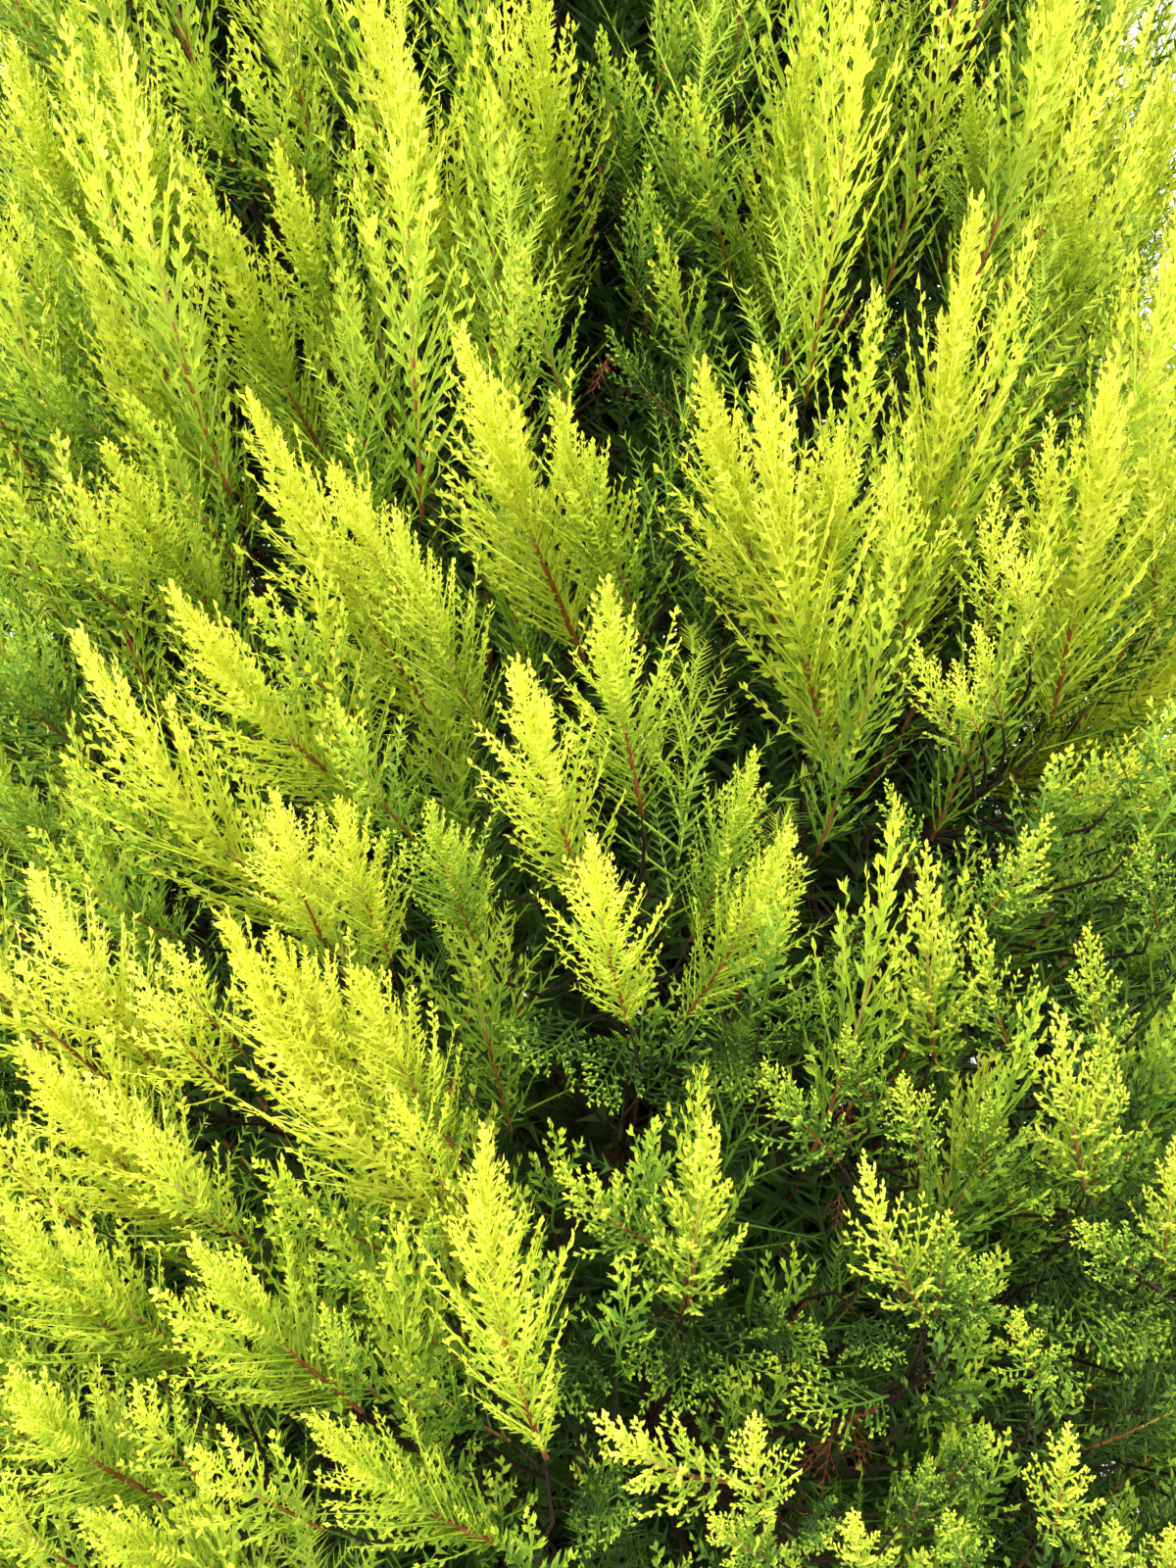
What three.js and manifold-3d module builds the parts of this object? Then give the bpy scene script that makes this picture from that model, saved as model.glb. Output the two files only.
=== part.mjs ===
// A golden cypress of about 3 m: one trunk, ascending boughs in tiers, and a mass of plume-like sprays
// on each bough. Millimetres, +Z up, with the origin on the ground under the trunk.
import * as THREE from "three";
import { mergeVertices } from "three/addons/utils/BufferGeometryUtils.js";
import Module from "manifold-3d";

const wasm = await Module();
wasm.setup();

// Driving dimensions
const height = 3000; // ground to the tip of the leader
const crownRadius = 680; // reach that the crown's taper starts from
const crownFoot = -40; // where the lowest limb curve would leave the axis
const gap = 0.3; // clearance between pieces that touch
const seed = 40151;

// The crown's outline, from a skirt that is tucked in a little to a long taper
const reachTaper = 1.02;
const reachTuck = 0.24; // how far the lowest skirt is tucked in, as a share
const reachShoulder = 14; // how soon that tuck ends

// Every limb follows one family of rising curves: flat near the ground, steep near the top
const riseAtFoot = -0.12;
const riseGain = 2.6;
const risePower = 0.8;
const upturn = 0.5; // how strongly the outer end of a limb turns up

// The trunk
const trunkTop = 2530;
const trunkFootRadius = 48;
const trunkTopRadius = 6;
const trunkTaper = 0.85;
const flareRadius = 28; // what the root flare adds at the ground
const flareHeight = 80;
const flareLobes = 5;
const flareLobeDepth = 0.25; // how much of the flare comes and goes with its lobes
const trunkSway = 6;
const trunkLean = 16; // how far the tip stands to the side of the foot
const trunkSides = 12;
const trunkRings = 15;
const trunkRingPower = 1.6; // rings crowd towards the foot, where the flare is

// Boughs and the stems that carry on from their tips
const boughReach = 0.42; // share of the way to the outline at which a bough enters its mass
const boughRoot = 0.36; // bough radius at the trunk, as a share of the trunk's there
const boughTaper = 0.55; // radius at its tip, as a share of that at its root
const boughSides = 5;
const boughRings = 4;
const stemReach = 0.8; // share of the way to the outline at which a mass's own stem ends
const stemCollar = 7; // length of the straight foot that squarely meets its bough
const stemRings = [
  { along: 0.2, size: 0.9 },
  { along: 0.6, size: 0.6 },
  { along: 1, size: 0.3 },
];
const stemSides = 5;
const twigFrom = 0.2; // where the twigs branch, as a share of the stem
const twigRadius = 3;
const twigTaper = 0.7;
const twigSides = 3;

// Tiers of the crown: where each starts on the trunk, how many boughs it has, and its turn in degrees
const tiers = [
  { from: crownFoot, sectors: 5, turn: 0 },
  { from: 260, sectors: 5, turn: 37 },
  { from: 520, sectors: 5, turn: 12 },
  { from: 825, sectors: 4, turn: 58 },
  { from: 1175, sectors: 4, turn: 10 },
  { from: 1600, sectors: 3, turn: 35 },
  { from: 2065, sectors: 3, turn: 100 },
];
const topTierFrom = 2460;

// How the plumes stand on a mass
const plumePitch = 162; // spacing of the plumes over the crown's surface
const plumeMargin = 45; // how far a row's end plumes keep from the sides of their cell
const rowMargins = [16, 53]; // how far the outer rows keep from their cell's lower and upper edges
const reachSpread = 0.14; // how unevenly the plumes reach out
const rollSpread = 0.8; // how far they are turned about their own length, in radians
const rootReach = 0.6; // where they root, as a share of the way to the outline
const rootSpread = 0.64; // how far they spread there, as a share of their spread at the tips
const rootClear = 2; // how far a root stays outside its bough's end
const cellMargin = 1.5; // how far a mass stays from its neighbours' space
const groundClear = 8; // and from the ground

// A plume's own shape, as shares of its length
const plumeWidth = 0.36;
const plumeThickness = 0.15;
const plumeWaist = 0.38; // where it is thickest
const plumeTooth = { along: 0.6, notchAlong: 0.57, notchOut: 0.42, shift: 0.08 };
const plumeTries = [1, 0.8, 0.62]; // how wide a plume is made, until it fits its cell

// The dense inner part of a mass
const coreReach = [0.43, 0.7]; // shares of the way to the outline
const coreFill = 0.98; // how much of its cell the core spans
const coreSides = 8;
const coreSquareness = 0.7; // from 0, round, to 1, square
const coreTooth = { size: 0.4, depth: 0.24 }; // how far every other corner stands out and forward
const coreRings = [
  { depth: 0, size: 0.3, toothed: 0 },
  { depth: 0.36, size: 0.84, toothed: 1 },
  { depth: 0.72, size: 0.8, toothed: 1 },
  { depth: 1, size: 0.3, toothed: 0 },
];

// The leader's plumes, from the lowest to the highest
const leader = {
  plumes: 14,
  lengths: [230, 173],
  leans: [0.62, 0.12],
  lowest: 9,
  headroom: 196,
  crowding: 0.9,
  spire: 219,
  stemShare: 0.7,
  stemTip: 2,
};
const goldenAngle = Math.PI * (3 - Math.sqrt(5));

// A repeatable source of numbers from 0 to 1
function makeRandom(start) {
  let state = start;
  return () => {
    state = (state * 48271) % 2147483647;
    return state / 2147483647;
  };
}

const lerp = (a, b, t) => a + (b - a) * t;

// The height of the rising curve that leaves the axis at a given height, at radius r
function limbHeight(start, r) {
  const rise = riseAtFoot + riseGain * (Math.max(start, 0) / height) ** risePower;
  return start + rise * r + upturn * crownRadius * (r / crownRadius) ** 3;
}

// The start height of the curve that passes through a point, by halving
function startOf(r, z) {
  let low = crownFoot;
  let high = height;
  for (let i = 0; i < 24; i++) {
    const middle = (low + high) / 2;
    if (limbHeight(middle, r) < z) low = middle;
    else high = middle;
  }
  return (low + high) / 2;
}

// How far out the crown reaches along a curve
function reachOf(start) {
  const t = (start - crownFoot) / (height - crownFoot);
  return crownRadius * (1 - t) ** reachTaper * (1 - reachTuck * Math.exp(-t * reachShoulder));
}

function limbPoint(start, turn, r) {
  return new THREE.Vector3(r * Math.cos(turn), r * Math.sin(turn), limbHeight(start, r));
}

function trunkCentre(z) {
  const t = z / height;
  const x = trunkSway * Math.sin(t * 7.5) + trunkLean * t * t;
  const y = trunkSway * Math.sin(t * 5.5);
  return new THREE.Vector3(x, y, z);
}

function trunkRadius(z) {
  return lerp(trunkFootRadius, trunkTopRadius, (z / trunkTop) ** trunkTaper);
}

// A closed loft through rings of points that all have the same number of corners
function loft(rings) {
  const sides = rings[0].length;
  const points = rings.flat();
  const faces = [];
  for (let k = 0; k + 1 < rings.length; k++)
    for (let i = 0; i < sides; i++) {
      const a = k * sides + i;
      const b = k * sides + ((i + 1) % sides);
      faces.push(a, b, b + sides, a, b + sides, a + sides);
    }
  const last = (rings.length - 1) * sides;
  for (let i = 1; i + 1 < sides; i++) faces.push(0, i + 1, i, last, last + i, last + i + 1);
  return solid(points, faces);
}

// A manifold-3d solid from points and triangles
function solid(points, faces) {
  const geometry = new THREE.BufferGeometry().setFromPoints(points).setIndex(faces);
  const merged = mergeVertices(geometry, 1e-3);
  return new wasm.Manifold(
    new wasm.Mesh({
      numProp: 3,
      vertProperties: merged.attributes.position.array,
      triVerts: new Uint32Array(merged.index.array),
    }),
  );
}

// A tube through points, with a radius at each and a flat end at both
function tube(points, radii, sides) {
  const rings = points.map((p, i) => {
    const ahead = points[Math.min(i + 1, points.length - 1)];
    const behind = points[Math.max(i - 1, 0)];
    const along = ahead.clone().sub(behind).normalize();
    const side = new THREE.Vector3(-along.y, along.x, 0);
    if (side.length() < 1e-3) side.set(0, 1, 0);
    side.normalize();
    const up = along.clone().cross(side);
    return Array.from({ length: sides }, (_, k) => {
      const a = (k / sides) * 2 * Math.PI;
      return p
        .clone()
        .addScaledVector(side, radii[i] * Math.cos(a))
        .addScaledVector(up, radii[i] * Math.sin(a));
    });
  });
  return loft(rings);
}

// The largest body of a shape, which drops loose scraps and fills sealed hollows
function largest(shape) {
  return shape.decompose().reduce((a, b) => (b.volume() > a.volume() ? b : a));
}

// The trunk, or the same shape grown by a clearance to cut its neighbours with
function makeTrunk(grown) {
  const rings = Array.from({ length: trunkRings }, (_, k) => {
    const z = trunkTop * (k / (trunkRings - 1)) ** trunkRingPower;
    const flare = flareRadius * Math.exp(-z / flareHeight);
    const centre = trunkCentre(z);
    return Array.from({ length: trunkSides }, (_, i) => {
      const a = (i / trunkSides) * 2 * Math.PI;
      const lobe = 1 - flareLobeDepth + flareLobeDepth * Math.cos(flareLobes * a + 0.6);
      const r = trunkRadius(z) + flare * lobe + grown;
      return new THREE.Vector3(centre.x + r * Math.cos(a), centre.y + r * Math.sin(a), z);
    });
  });
  return loft(rings);
}

// One cell for each bough: its own part of the crown between two rising curves and two upright planes
function makeCells() {
  return tiers.flatMap((tier, k) => {
    const to = k + 1 < tiers.length ? tiers[k + 1].from : topTierFrom;
    const span = (2 * Math.PI) / tier.sectors;
    return Array.from({ length: tier.sectors }, (_, i) => ({
      from: tier.from,
      to,
      middle: (tier.from + to) / 2,
      turn: THREE.MathUtils.degToRad(tier.turn) + i * span,
      span,
    }));
  });
}

// Whether a point lies in a cell, clear of its bough and of the ground
function inCell(cell, point, innerRadius) {
  const r = Math.hypot(point.x, point.y);
  if (r < innerRadius || point.z < groundClear) return false;
  let turn = Math.atan2(point.y, point.x) - cell.turn;
  turn -= 2 * Math.PI * Math.round(turn / (2 * Math.PI));
  if ((cell.span / 2 - Math.abs(turn)) * r < cellMargin) return false;
  const high = limbHeight(cell.to, r) - cellMargin;
  const low = limbHeight(cell.from, r) + cellMargin;
  return point.z > low && point.z < high;
}

// A toothed blade from root to tip, crowned on both faces, as its corner points and faces
function plumeShape(root, tip, turn, wide, random) {
  const along = tip.clone().sub(root);
  const length = along.length();
  along.normalize();
  const across = new THREE.Vector3(-Math.sin(turn), Math.cos(turn), 0);
  across.addScaledVector(along, -across.dot(along)).normalize();
  const face = along.clone().cross(across);
  const width = (plumeWidth / 2) * length * wide;
  const at = (u, v, w) =>
    root
      .clone()
      .addScaledVector(along, u * length)
      .addScaledVector(across, v * width)
      .addScaledVector(face, (w * plumeThickness * length) / 2);
  const edge = (side) => {
    const shift = (random() - 0.5) * plumeTooth.shift;
    return [
      at(plumeTooth.along + shift, side, 0),
      at(plumeTooth.notchAlong + shift, side * plumeTooth.notchOut, 0),
    ];
  };
  const rim = [at(0, 0, 0), ...edge(1), at(1, 0, 0), ...edge(-1).reverse()];
  const points = [...rim, at(plumeWaist, 0, 1), at(plumeWaist, 0, -1)];
  const front = rim.length;
  const faces = [];
  for (let i = 0; i < rim.length; i++) {
    const next = (i + 1) % rim.length;
    faces.push(front, next, i, front + 1, i, next);
  }
  return { points, faces };
}

// The seeded rule: the curve that each plume's tip is on, its turn, its reach and its roll
function plumeSites(cell, random) {
  const sites = [];
  const middleReach = reachOf(cell.middle);
  const tall = limbHeight(cell.to, middleReach) - limbHeight(cell.from, middleReach);
  const rows = Math.max(2, Math.ceil(tall / plumePitch));
  for (let row = 0; row < rows; row++) {
    const start = lerp(cell.from + rowMargins[0], cell.to - rowMargins[1], row / (rows - 1));
    const reach = reachOf(start);
    const arc = cell.span * reach - 2 * plumeMargin;
    const columns = Math.max(2, 1 + Math.round(arc / plumePitch) - (row % 2));
    for (let column = 0; column < columns; column++) {
      const u = (2 * column) / (columns - 1) - 1;
      const jitter = ((random() - 0.5) * 0.6 * (1 - Math.abs(u))) / columns;
      const stretch = 1 + (random() - 0.5) * reachSpread;
      const roll = (random() - 0.5) * rollSpread;
      sites.push({ start, turn: cell.turn + ((u / 2 + jitter) * arc) / reach, reach: reach * stretch, roll });
    }
  }
  return sites;
}

// A dense core round the stem: a loft in the middle of the cell with small ends and jagged flanks
function coreOf(cell, innerRadius) {
  const reach = reachOf(cell.middle);
  const endTurn = (coreRings[0].size * coreFill * cell.span) / 2;
  const inner = Math.max(innerRadius / Math.cos(endTurn), reach * coreReach[0]);
  const at = (depth, u, v) => {
    const start = lerp(cell.middle, cell.to, v * coreFill);
    const turn = cell.turn + (u * coreFill * cell.span) / 2;
    const point = limbPoint(start, turn, lerp(inner, reach * coreReach[1], depth));
    return point.setZ(Math.max(point.z, groundClear));
  };
  const rings = coreRings.map(({ depth, size, toothed }) =>
    Array.from({ length: coreSides }, (_, i) => {
      const a = (i / coreSides) * 2 * Math.PI;
      const tooth = toothed * (i % 2 ? 0.5 : -0.5);
      const corner = Math.max(Math.abs(Math.cos(a)), Math.abs(Math.sin(a))) ** -coreSquareness;
      const wide = size * corner * (1 + tooth * coreTooth.size);
      return at(depth + tooth * coreTooth.depth, wide * Math.cos(a), wide * Math.sin(a));
    }),
  );
  return loft(rings);
}

function boughRadii(start) {
  const root = trunkRadius(start) * boughRoot;
  return Array.from({ length: boughRings }, (_, k) => lerp(root, root * boughTaper, k / (boughRings - 1)));
}

// A bough's middle line, from the trunk's own centre to where the bough enters its mass
function boughLine(cell) {
  const end = reachOf(cell.middle) * boughReach;
  const aside = trunkCentre(cell.middle).setZ(0);
  return Array.from({ length: boughRings }, (_, k) => {
    const share = k / (boughRings - 1);
    return limbPoint(cell.middle, cell.turn, end * share).addScaledVector(aside, 1 - share);
  });
}

function makeBough(cell, trunkCutter) {
  return largest(tube(boughLine(cell), boughRadii(cell.middle), boughSides).subtract(trunkCutter));
}

// A mass: a stem that carries on from the bough, a twig to each plume, and the plumes round a core.
// A plume that would leave its cell is made narrower, and left out if it still would
function makeMass(cell, random) {
  const reach = reachOf(cell.middle);
  const boughEnd = reach * boughReach;
  const radius = boughRadii(cell.middle).at(-1);
  const stemPoint = (share) => limbPoint(cell.middle, cell.turn, lerp(boughEnd, reach * stemReach, share));
  const [before, end] = boughLine(cell).slice(-2);
  const ahead = end.clone().sub(before).normalize();
  const foot = end.clone().addScaledVector(ahead, gap);
  const collar = end.clone().addScaledVector(ahead, gap + stemCollar);
  const stem = [foot, collar, ...stemRings.map(({ along }) => stemPoint(along))];
  const stemRadii = [radius, radius, ...stemRings.map(({ size }) => radius * size)];
  const clear = boughEnd + 2 * radius;
  const pieces = [tube(stem, stemRadii, stemSides), coreOf(cell, clear)];
  for (const site of plumeSites(cell, random)) {
    const tip = limbPoint(site.start, site.turn, site.reach);
    const root = limbPoint(
      lerp(cell.middle, site.start, rootSpread),
      lerp(cell.turn, site.turn, rootSpread),
      Math.max(reach * rootReach, clear + rootClear),
    );
    for (const wide of plumeTries) {
      const plume = plumeShape(root, tip, site.turn + site.roll * wide, wide, random);
      if (plume.points.some((p) => !inCell(cell, p, clear))) continue;
      pieces.push(tube([stemPoint(twigFrom), root], [twigRadius, twigRadius * twigTaper], twigSides));
      pieces.push(solid(plume.points, plume.faces));
      break;
    }
  }
  return largest(wasm.Manifold.union(pieces));
}

// The leader: the stem above the trunk's tip, with plumes set round it in a spiral and a last one on top
function makeLeader(random) {
  const top = trunkCentre(trunkTop);
  const tip = top.clone().setZ(height);
  const foot = top.clone().setZ(trunkTop + gap);
  const stem = [foot, foot.clone().lerp(tip, leader.stemShare)];
  const pieces = [tube(stem, [trunkTopRadius, leader.stemTip], stemSides)];
  for (let i = 0; i < leader.plumes; i++) {
    const share = i / (leader.plumes - 1);
    const turn = i * goldenAngle;
    const lean = lerp(...leader.leans, share);
    const length = lerp(...leader.lengths, share) * (0.9 + 0.2 * random());
    const rootZ = lerp(trunkTop + leader.lowest, height - leader.headroom, share ** leader.crowding);
    const root = top.clone().setZ(rootZ);
    const side = new THREE.Vector3(Math.cos(turn), Math.sin(turn), 0);
    const end = root.clone().addScaledVector(side, length * Math.sin(lean));
    end.z += length * Math.cos(lean);
    const plume = plumeShape(root, end, turn, 1, random);
    const low = plume.points.some((p) => startOf(Math.hypot(p.x, p.y), p.z) < topTierFrom + cellMargin);
    if (!low) pieces.push(solid(plume.points, plume.faces));
  }
  const spire = plumeShape(top.clone().setZ(height - leader.spire), tip, 0.4, 1, random);
  pieces.push(solid(spire.points, spire.faces));
  return largest(wasm.Manifold.union(pieces));
}

function toMesh(name, shape, material) {
  const made = shape.getMesh();
  const geometry = new THREE.BufferGeometry();
  geometry.setAttribute("position", new THREE.BufferAttribute(made.vertProperties, made.numProp));
  geometry.setIndex(new THREE.BufferAttribute(made.triVerts, 1));
  geometry.computeVertexNormals();
  const mesh = new THREE.Mesh(geometry, material);
  mesh.name = name;
  return mesh;
}

const bark = new THREE.MeshStandardMaterial({ color: 0x6e4a36, roughness: 0.9, metalness: 0 });
const redBark = new THREE.MeshStandardMaterial({ color: 0x8a4526, roughness: 0.8, metalness: 0 });
const foliage = new THREE.MeshStandardMaterial({ color: 0x9bc01f, roughness: 0.6, metalness: 0 });

const tree = new THREE.Group();
tree.add(toMesh("trunk", makeTrunk(0), bark));
const trunkCutter = makeTrunk(gap);
makeCells().forEach((cell, i) => {
  const number = String(i + 1).padStart(2, "0");
  tree.add(toMesh("bough_" + number, makeBough(cell, trunkCutter), redBark));
  tree.add(toMesh("foliage_" + number, makeMass(cell, makeRandom(seed * (i + 1))), foliage));
});
tree.add(toMesh("foliage_leader", makeLeader(makeRandom(seed)), foliage));

export default tree;
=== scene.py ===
# Golden cypress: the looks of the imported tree. Metres, Z up, the trunk's foot at the origin.
import math

import bpy
import numpy as np
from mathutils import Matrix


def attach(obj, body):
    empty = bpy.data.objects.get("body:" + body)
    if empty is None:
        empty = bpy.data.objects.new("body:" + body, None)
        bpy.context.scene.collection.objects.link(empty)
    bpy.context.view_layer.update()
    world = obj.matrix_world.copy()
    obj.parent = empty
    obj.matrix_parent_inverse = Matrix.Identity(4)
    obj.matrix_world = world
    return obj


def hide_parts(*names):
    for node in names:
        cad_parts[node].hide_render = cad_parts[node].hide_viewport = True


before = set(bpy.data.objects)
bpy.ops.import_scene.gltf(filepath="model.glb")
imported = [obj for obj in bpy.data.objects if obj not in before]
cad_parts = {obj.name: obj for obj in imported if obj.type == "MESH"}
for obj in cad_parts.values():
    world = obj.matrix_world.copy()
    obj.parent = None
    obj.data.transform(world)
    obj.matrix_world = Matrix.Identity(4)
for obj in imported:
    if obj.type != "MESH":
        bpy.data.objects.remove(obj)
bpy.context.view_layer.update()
nodeNames = sorted(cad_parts)
foliageNodes = [name for name in nodeNames if name.startswith("foliage")]
boughNodes = [name for name in nodeNames if name.startswith("bough")]
goldenAngle = math.pi * (3 - math.sqrt(5))
print("frame loaded with", len(nodeNames), "solids")

# the picture: where the camera stands and how the photograph's pixels lie in it
picture = {
    "width": 1200,
    "height": 1600,
    "lens": 27.0,  # millimetres, on a 36 mm long side
    "sensor": 36.0,
    "place": (0.02, -0.94, 1.05),
    "pitch": -3.0,  # degrees above the horizon
    "yaw": 0.0,  # degrees to the right
}

# the crown's outline and its rising limb curves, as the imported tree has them
crown = {
    "height": 3.0,
    "radius": 0.68,
    "foot": -0.04,
    "taper": 1.02,
    "tuck": 0.24,
    "shoulder": 14.0,
    "riseAtFoot": -0.12,
    "riseGain": 2.6,
    "risePower": 0.8,
    "upturn": 0.5,
    "tiers": [  # start on the trunk, boughs round it, turn in degrees
        (-0.04, 5, 0),
        (0.26, 5, 37),
        (0.52, 5, 12),
        (0.825, 4, 58),
        (1.175, 4, 10),
        (1.6, 3, 35),
        (2.065, 3, 100),
    ],
    "topTierFrom": 2.46,
    "outlineTo": 2.96,  # the highest start of a limb curve that the outline is read from
    "seed": 40151,
    "groundClear": 0.01,  # lowest point of any leaf or twig
}


def mix(a, b, share):
    return a + (b - a) * share


def unit(vectors):  # each vector divided by its own length
    return vectors / np.maximum(np.linalg.norm(vectors, axis=-1, keepdims=True), 1e-12)


# height = start + rise * r + upturn * R * (r / R)^3, where rise grows with the start's height
def limbHeight(start, r):
    share = np.maximum(start, 0) / crown["height"]
    rise = crown["riseAtFoot"] + crown["riseGain"] * share ** crown["risePower"]
    return start + rise * r + crown["upturn"] * crown["radius"] * (r / crown["radius"]) ** 3


# reach = R * (1 - t)^taper, tucked in near the foot by an exponential, with t the share of the way up
def reachOf(start):
    t = (start - crown["foot"]) / (crown["height"] - crown["foot"])
    return crown["radius"] * (1 - t) ** crown["taper"] * (1 - crown["tuck"] * np.exp(-t * crown["shoulder"]))


def limbPoint(start, turn, r):  # the point of a rising curve at radius r, for whole arrays
    start, turn, r = np.broadcast_arrays(*np.atleast_1d(start, turn, r))
    return np.stack([r * np.cos(turn), r * np.sin(turn), limbHeight(start, r)], axis=-1)


edgeStarts = np.linspace(crown["foot"], crown["outlineTo"], 240)
edgeRadii = reachOf(edgeStarts)
edgeHeights = limbHeight(edgeStarts, edgeRadii)


def crownRadiusAt(z):  # the outline's radius at a height, read off the curve of the furthest tips
    return np.interp(z, edgeHeights, edgeRadii)


# the source's repeatable numbers: state = state * 48271 mod (2^31 - 1)
drawSize = 2 ** 31 - 1


def makeDraw(salt):
    state = salt % drawSize

    def draw():
        nonlocal state
        state = (state * 48271) % drawSize
        return state / drawSize

    return draw


def makeCells():
    cells = []
    tiers = crown["tiers"]
    for k, (low, sectors, turn) in enumerate(tiers):
        high = tiers[k + 1][0] if k + 1 < len(tiers) else crown["topTierFrom"]
        for i in range(sectors):
            span = 2 * math.pi / sectors
            cells.append({"from": low, "to": high, "middle": (low + high) / 2,
                          "turn": math.radians(turn) + i * span, "span": span})
    return cells


# the source's rule for where plumes stand on a cell, and its own spacing
sites = {
    "pitch": 0.162,
    "margin": 0.045,
    "rowMargins": (0.016, 0.053),
    "turnSpread": 0.6,
    "reachSpread": 0.14,
}


def plumeSites(cell, spacing, draw):  # start, turn and reach of each place
    found = []
    middleReach = float(reachOf(cell["middle"]))
    tall = float(limbHeight(cell["to"], middleReach) - limbHeight(cell["from"], middleReach))
    rows = max(2, math.ceil(tall / spacing["pitch"]))
    atFoot, atTop = spacing["rowMargins"]
    for row in range(rows):
        start = mix(cell["from"] + atFoot, cell["to"] - atTop, row / (rows - 1))
        reach = float(reachOf(start))
        arc = cell["span"] * reach - 2 * spacing["margin"]
        columns = max(2, 1 + round(arc / spacing["pitch"]) - (row % 2))
        for column in range(columns):
            u = 2 * column / (columns - 1) - 1
            jitter = (draw() - 0.5) * sites["turnSpread"] * (1 - abs(u)) / columns
            stretch = 1 + (draw() - 0.5) * sites["reachSpread"]
            draw()  # the source draws the roll of its blades here
            found.append((start, cell["turn"] + (u / 2 + jitter) * arc / reach, reach * stretch))
    return found


# places on the picture
def viewAxes():
    pitch, yaw = math.radians(picture["pitch"]), math.radians(picture["yaw"])
    ahead = np.array([math.sin(yaw) * math.cos(pitch), math.cos(yaw) * math.cos(pitch), math.sin(pitch)])
    right = np.array([math.cos(yaw), -math.sin(yaw), 0.0])
    return ahead, right, np.cross(right, ahead)


focalPixels = picture["lens"] / picture["sensor"] * picture["height"]
eye = np.array(picture["place"])


def pixelRays(pixels):  # ahead + right * (x - half width) / focal + up * (half height - y) / focal
    ahead, right, up = viewAxes()
    x = (pixels[:, 0] - picture["width"] / 2) / focalPixels
    y = (picture["height"] / 2 - pixels[:, 1]) / focalPixels
    return ahead + x[:, None] * right + y[:, None] * up


def toPixels(points):  # the picture's x and y and the depth of each point
    ahead, right, up = viewAxes()
    offset = points - eye
    depth = offset @ ahead
    safe = np.maximum(depth, 1e-3)
    x = picture["width"] / 2 + focalPixels * (offset @ right) / safe
    y = picture["height"] / 2 - focalPixels * (offset @ up) / safe
    return x, y, depth


# the first point of each ray where its distance from the axis falls to share * outline radius,
# or the point nearest to that where the ray passes the crown by
def onCrown(pixels, shares):
    rays = pixelRays(pixels)
    steps = np.linspace(0.12, 1.1, 400)
    points = eye + steps[None, :, None] * rays[:, None, :]
    over = np.hypot(points[..., 0], points[..., 1]) - shares[:, None] * crownRadiusAt(points[..., 2])
    inside = over < 0
    first = np.where(inside.any(axis=1), inside.argmax(axis=1), over.argmin(axis=1))
    return points[np.arange(len(pixels)), first]


# tubes carried along paths: centre + r * (cos a * side + sin a * up),
# closed at the far end by a point or a flat cap
def sweep(paths, radii, sides, pointed=True, capFoot=False):
    count, rings = paths.shape[:2]
    along = unit(np.gradient(paths, axis=1))
    axis = np.abs(along.mean(axis=1)).argmin(axis=1)
    reference = np.broadcast_to(np.eye(3)[axis][:, None, :], along.shape)
    side = unit(np.cross(reference, along))
    up = np.cross(along, side)
    turned = rings - 1 if pointed else rings
    a = np.arange(sides) / sides * 2 * math.pi
    ring = np.cos(a)[:, None] * side[:, :turned, None, :] + np.sin(a)[:, None] * up[:, :turned, None, :]
    skin = paths[:, :turned, None, :] + radii[:, :turned, None, None] * ring
    points = skin.reshape(count, -1, 3)
    k, i = np.meshgrid(np.arange(turned - 1), np.arange(sides), indexing="ij")
    near, following = k * sides + i, k * sides + (i + 1) % sides
    faces = [np.stack([near, following, following + sides], -1).reshape(-1, 3),
             np.stack([near, following + sides, near + sides], -1).reshape(-1, 3)]
    last = (turned - 1) * sides
    turn = np.arange(sides)
    fan = np.arange(1, sides - 1)
    if pointed:
        points = np.concatenate([points, paths[:, -1:, :]], axis=1)
        faces.append(np.stack([last + turn, last + (turn + 1) % sides, np.full(sides, last + sides)], -1))
    else:
        faces.append(np.stack([np.full(sides - 2, last), last + fan, last + fan + 1], -1))
    if capFoot:
        faces.append(np.stack([np.zeros(sides - 2, int), fan + 1, fan], -1))
    return points, np.concatenate(faces)


def gather(points, faces):  # (count, n, 3) points that share one face list, as one flat mesh
    count, n = points.shape[:2]
    offsets = (np.arange(count) * n)[:, None, None]
    return points.reshape(-1, 3), (faces[None] + offsets).reshape(-1, 3)


def join(parts):  # several (points, faces) as one
    points, faces, total = [], [], 0
    for p, f in parts:
        points.append(p)
        faces.append(f + total)
        total += len(p)
    return np.concatenate(points), np.concatenate(faces)


# materials
def linear(hexText):  # a screen colour as the linear one that the shader takes
    values = [int(hexText[i:i + 2], 16) / 255 for i in (0, 2, 4)]
    return [v / 12.92 if v <= 0.04045 else ((v + 0.055) / 1.055) ** 2.4 for v in values] + [1.0]


def newGroup(name, inputs):  # inputs by name: a number, or None for a colour
    tree = bpy.data.node_groups.new(name, "ShaderNodeTree")
    for label, value in inputs.items():
        kind = "NodeSocketColor" if value is None else "NodeSocketFloat"
        made = tree.interface.new_socket(name=label, in_out="INPUT", socket_type=kind)
        if value is not None:
            made.default_value = value
    for label, kind in (("Color", "Color"), ("Roughness", "Float"), ("Height", "Float")):
        tree.interface.new_socket(name=label, in_out="OUTPUT", socket_type="NodeSocket" + kind)
    return tree


def addNode(tree, kind, values={}):
    made = tree.nodes.new(kind)
    for label, value in values.items():
        made.inputs[label].default_value = value
    return made


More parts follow.
